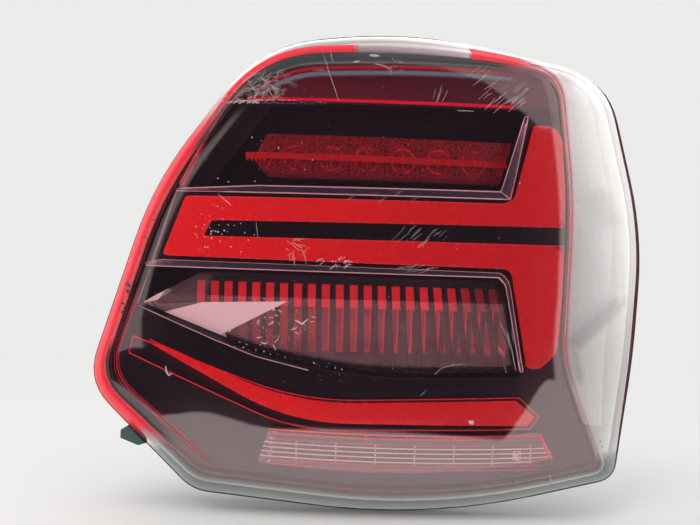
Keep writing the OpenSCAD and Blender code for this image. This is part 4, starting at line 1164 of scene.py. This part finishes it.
DUST_SPOTS = [  # px, py, size, height, stretch, turn
    (375, 55.5, 1.5, 0.06, 4.5, 0.06), (356.5, 61.5, 0.9, 0.06, 4.5, -0.1), (471.5, 422.5, 2.9, 0.06, 1.15, 0.1),
    (520, 183.5, 0.9)]
DROP_GROUPS = [
    (squiggles, (276, 325), (38, 22), 22, (3, 7), (0.5, 1.1)), (crumbs, (262, 322), (50, 24), 44, (0.3, 0.8), 0.2)]
DROP_CURLS = [  # path, width, height
    ([(165.8, 366), (166.2, 371.5), (169, 375.5), (172, 373)], 1.5, 0.10),
    ([(295, 320), (302, 324), (308, 319)], 1.6, 0.12)]
RIM_DIRT = [  # start, end, count
    ((170, 192), (150, 226), 9), ((150, 226), (139, 256), 8), ((139, 262), (128, 300), 7),
    ((128, 318), (112, 345), 6)]
DIRT_GROUPS = [(crumbs_along, a, b, count, (0.4, 1.0), 0.08, 2.0) for a, b, count in RIM_DIRT] + [
    (crumbs_along, (192, 365), (273, 403), 12, (0.4, 1.0), 0.08, 0.3),
    (crumbs, (126, 288), (5, 9), 10, (0.8, 2.0)), (crumbs, (122, 308), (4, 5), 6, (0.8, 1.6)),
    (crumbs, (600, 445), (4, 4), 4, (0.4, 0.8))]
DIRT_SPOTS = [(513, 482, 1.1), (552, 308, 1.5, 0.15)]
LOW_DIRT_GROUPS = [(crumbs, (560, 480), (60, 6), 7, (0.3, 0.6)), (crumbs, (300, 493), (110, 4), 9, (0.3, 0.6))]


def grouped(groups):
    """The marks of each group, made in the order given."""
    return [shape for make, *values in groups for shape in make(*values)]


scratch_lines = grouped([(scratches, *group) for group in SCRATCH_GROUPS])
scratch_lines += [stroke(path, width) for path, width in LONE_SCRATCHES]
dust_crumbs = grouped(DUST_GROUPS) + [grain(*spot) for spot in DUST_SPOTS]
drop_shapes = grouped(DROP_GROUPS) + [stroke(*curl) for curl in DROP_CURLS]
dirt_crumbs = grouped(DIRT_GROUPS) + [grain(*spot) for spot in DIRT_SPOTS] + grouped(LOW_DIRT_GROUPS)

for mark_name, mark_shapes, mark_finish in (
        ("lens_scratches", scratch_lines, "scratch_white"), ("lens_dust", dust_crumbs, "dust_grey"),
        ("lens_drops", drop_shapes, "dried_drop"), ("lens_dirt", dirt_crumbs, "dirt_dark")):
    piece_of(mark_name, *joined(mark_shapes), "smoked_red_lens", finish=mark_finish, outward=False)


# ---------------------------------------------------------------- studio

BACKGROUND = (0.835, 0.835, 0.83)
BRIGHT_ROOM, DARK_SIDE, PALE_PATCH = (2.1, 2.07, 2.03), (0.040, 0.075, 0.100), (1.30, 1.28, 1.26)
ROOM_ABOVE, PLAIN_LIGHT = (1.15, 1.15, 1.14), (0.92, 0.92, 0.93)
FLOOR_HALF, FLOOR_GAP = 6.0, 0.0004


def studio():
    floor_z = min(cad_box[0][2], cad_box[1][2]) - FLOOR_GAP
    size = FLOOR_HALF
    mesh = bpy.data.meshes.new("studio_floor")
    corners = [(-size, -size), (size, -size), (size, size), (-size, size)]
    mesh.from_pydata([(*corner, floor_z) for corner in corners], [], [(0, 1, 2, 3)])
    f = Finish("studio_floor")
    x, y, _ = f.place()
    away = ((x * x + y * y).sum("SQRT")).rise(200, 900)
    paint = f.blend(f.noise(300, 2) * 0.5, (0.80, 0.81, 0.79), (0.82, 0.82, 0.81))
    f_paint = f.shader("Principled", Base_Color=paint, Roughness=0.9)
    plain = f.node("Emission", {}, {"Color": (*BACKGROUND, 1), "Strength": 1.0})
    seen = f.node("LightPath", out="Is Camera Ray")
    mesh.materials.append(f.done(f.mixed(away * seen, f_paint, plain)))
    floor = bpy.data.objects.new("studio_floor", mesh)
    bpy.context.scene.collection.objects.link(floor)
    floor.visible_glossy = False

    w = Finish("studio_world", world=True)
    way = w.node("TexCoord", out="Generated")
    split = w.tree.nodes.new("ShaderNodeSeparateXYZ")
    w.tree.links.new(way.socket, split.inputs[0])
    x, y, z = (Number(w, split.outputs[k]) for k in range(3))
    front = (y * -1.0).most(0.02)
    tx, tz = x / front, z / (x * x + y * y).sum("SQRT").most(0.02)
    low_edge = abs(tx + 0.41).rise(0.26, 0.0) * 0.06 + tx.rise(0.53, 0.68) * 0.205 - 0.515
    dark = (tz - low_edge).rise(-0.006, 0.006) * tz.rise(0.86, 0.78) * tx.rise(0.715, 0.700) * y.rise(-0.25, -0.35)
    corner = (tz + tx * 0.871 - 0.945).rise(0.0, 0.012) * tz.rise(0.395, 0.405)
    strip = (tz * tz * 0.63 + tz * 0.241 - 0.549 - tx).rise(-0.006, 0.010)
    strip = strip * tz.rise(-0.256, -0.248) * tz.rise(0.50, 0.38)
    veil = corner.most(strip * tx.rise(-0.84, -0.80)) * dark
    mirrored = w.blend(dark, BRIGHT_ROOM, DARK_SIDE)
    mirrored = w.blend(veil, mirrored, PALE_PATCH)
    mirrored = w.blend(y.rise(-0.40, -0.10) * z.rise(0.30, 0.55), mirrored, ROOM_ABOVE)
    camera, shiny = w.node("LightPath", out="Is Camera Ray"), w.node("LightPath", out="Is Glossy Ray")
    shade = w.blend(shiny, PLAIN_LIGHT, mirrored)
    shade = w.blend(camera, shade, BACKGROUND)
    bpy.context.scene.world = w.done(w.node("Background", {}, {"Color": shade, "Strength": 1.0}))


def soft_lamp(name, place, aim, size, power):
    data = bpy.data.lights.new(name, "AREA")
    data.shape, data.size, data.size_y, data.energy = "RECTANGLE", size[0], size[1], power
    lamp = bpy.data.objects.new(name, data)
    lamp.location = place
    lamp.rotation_euler = (Vector(aim) - Vector(place)).to_track_quat("-Z", "Y").to_euler()
    bpy.context.scene.collection.objects.link(lamp)
    lamp.visible_glossy = False
    return lamp


studio()
soft_lamp("soft_top", (-0.5, -0.6, 1.1), (0, 0, 0), (0.9, 0.9), 5.0)

bpy.context.scene.view_settings.view_transform = "Standard"
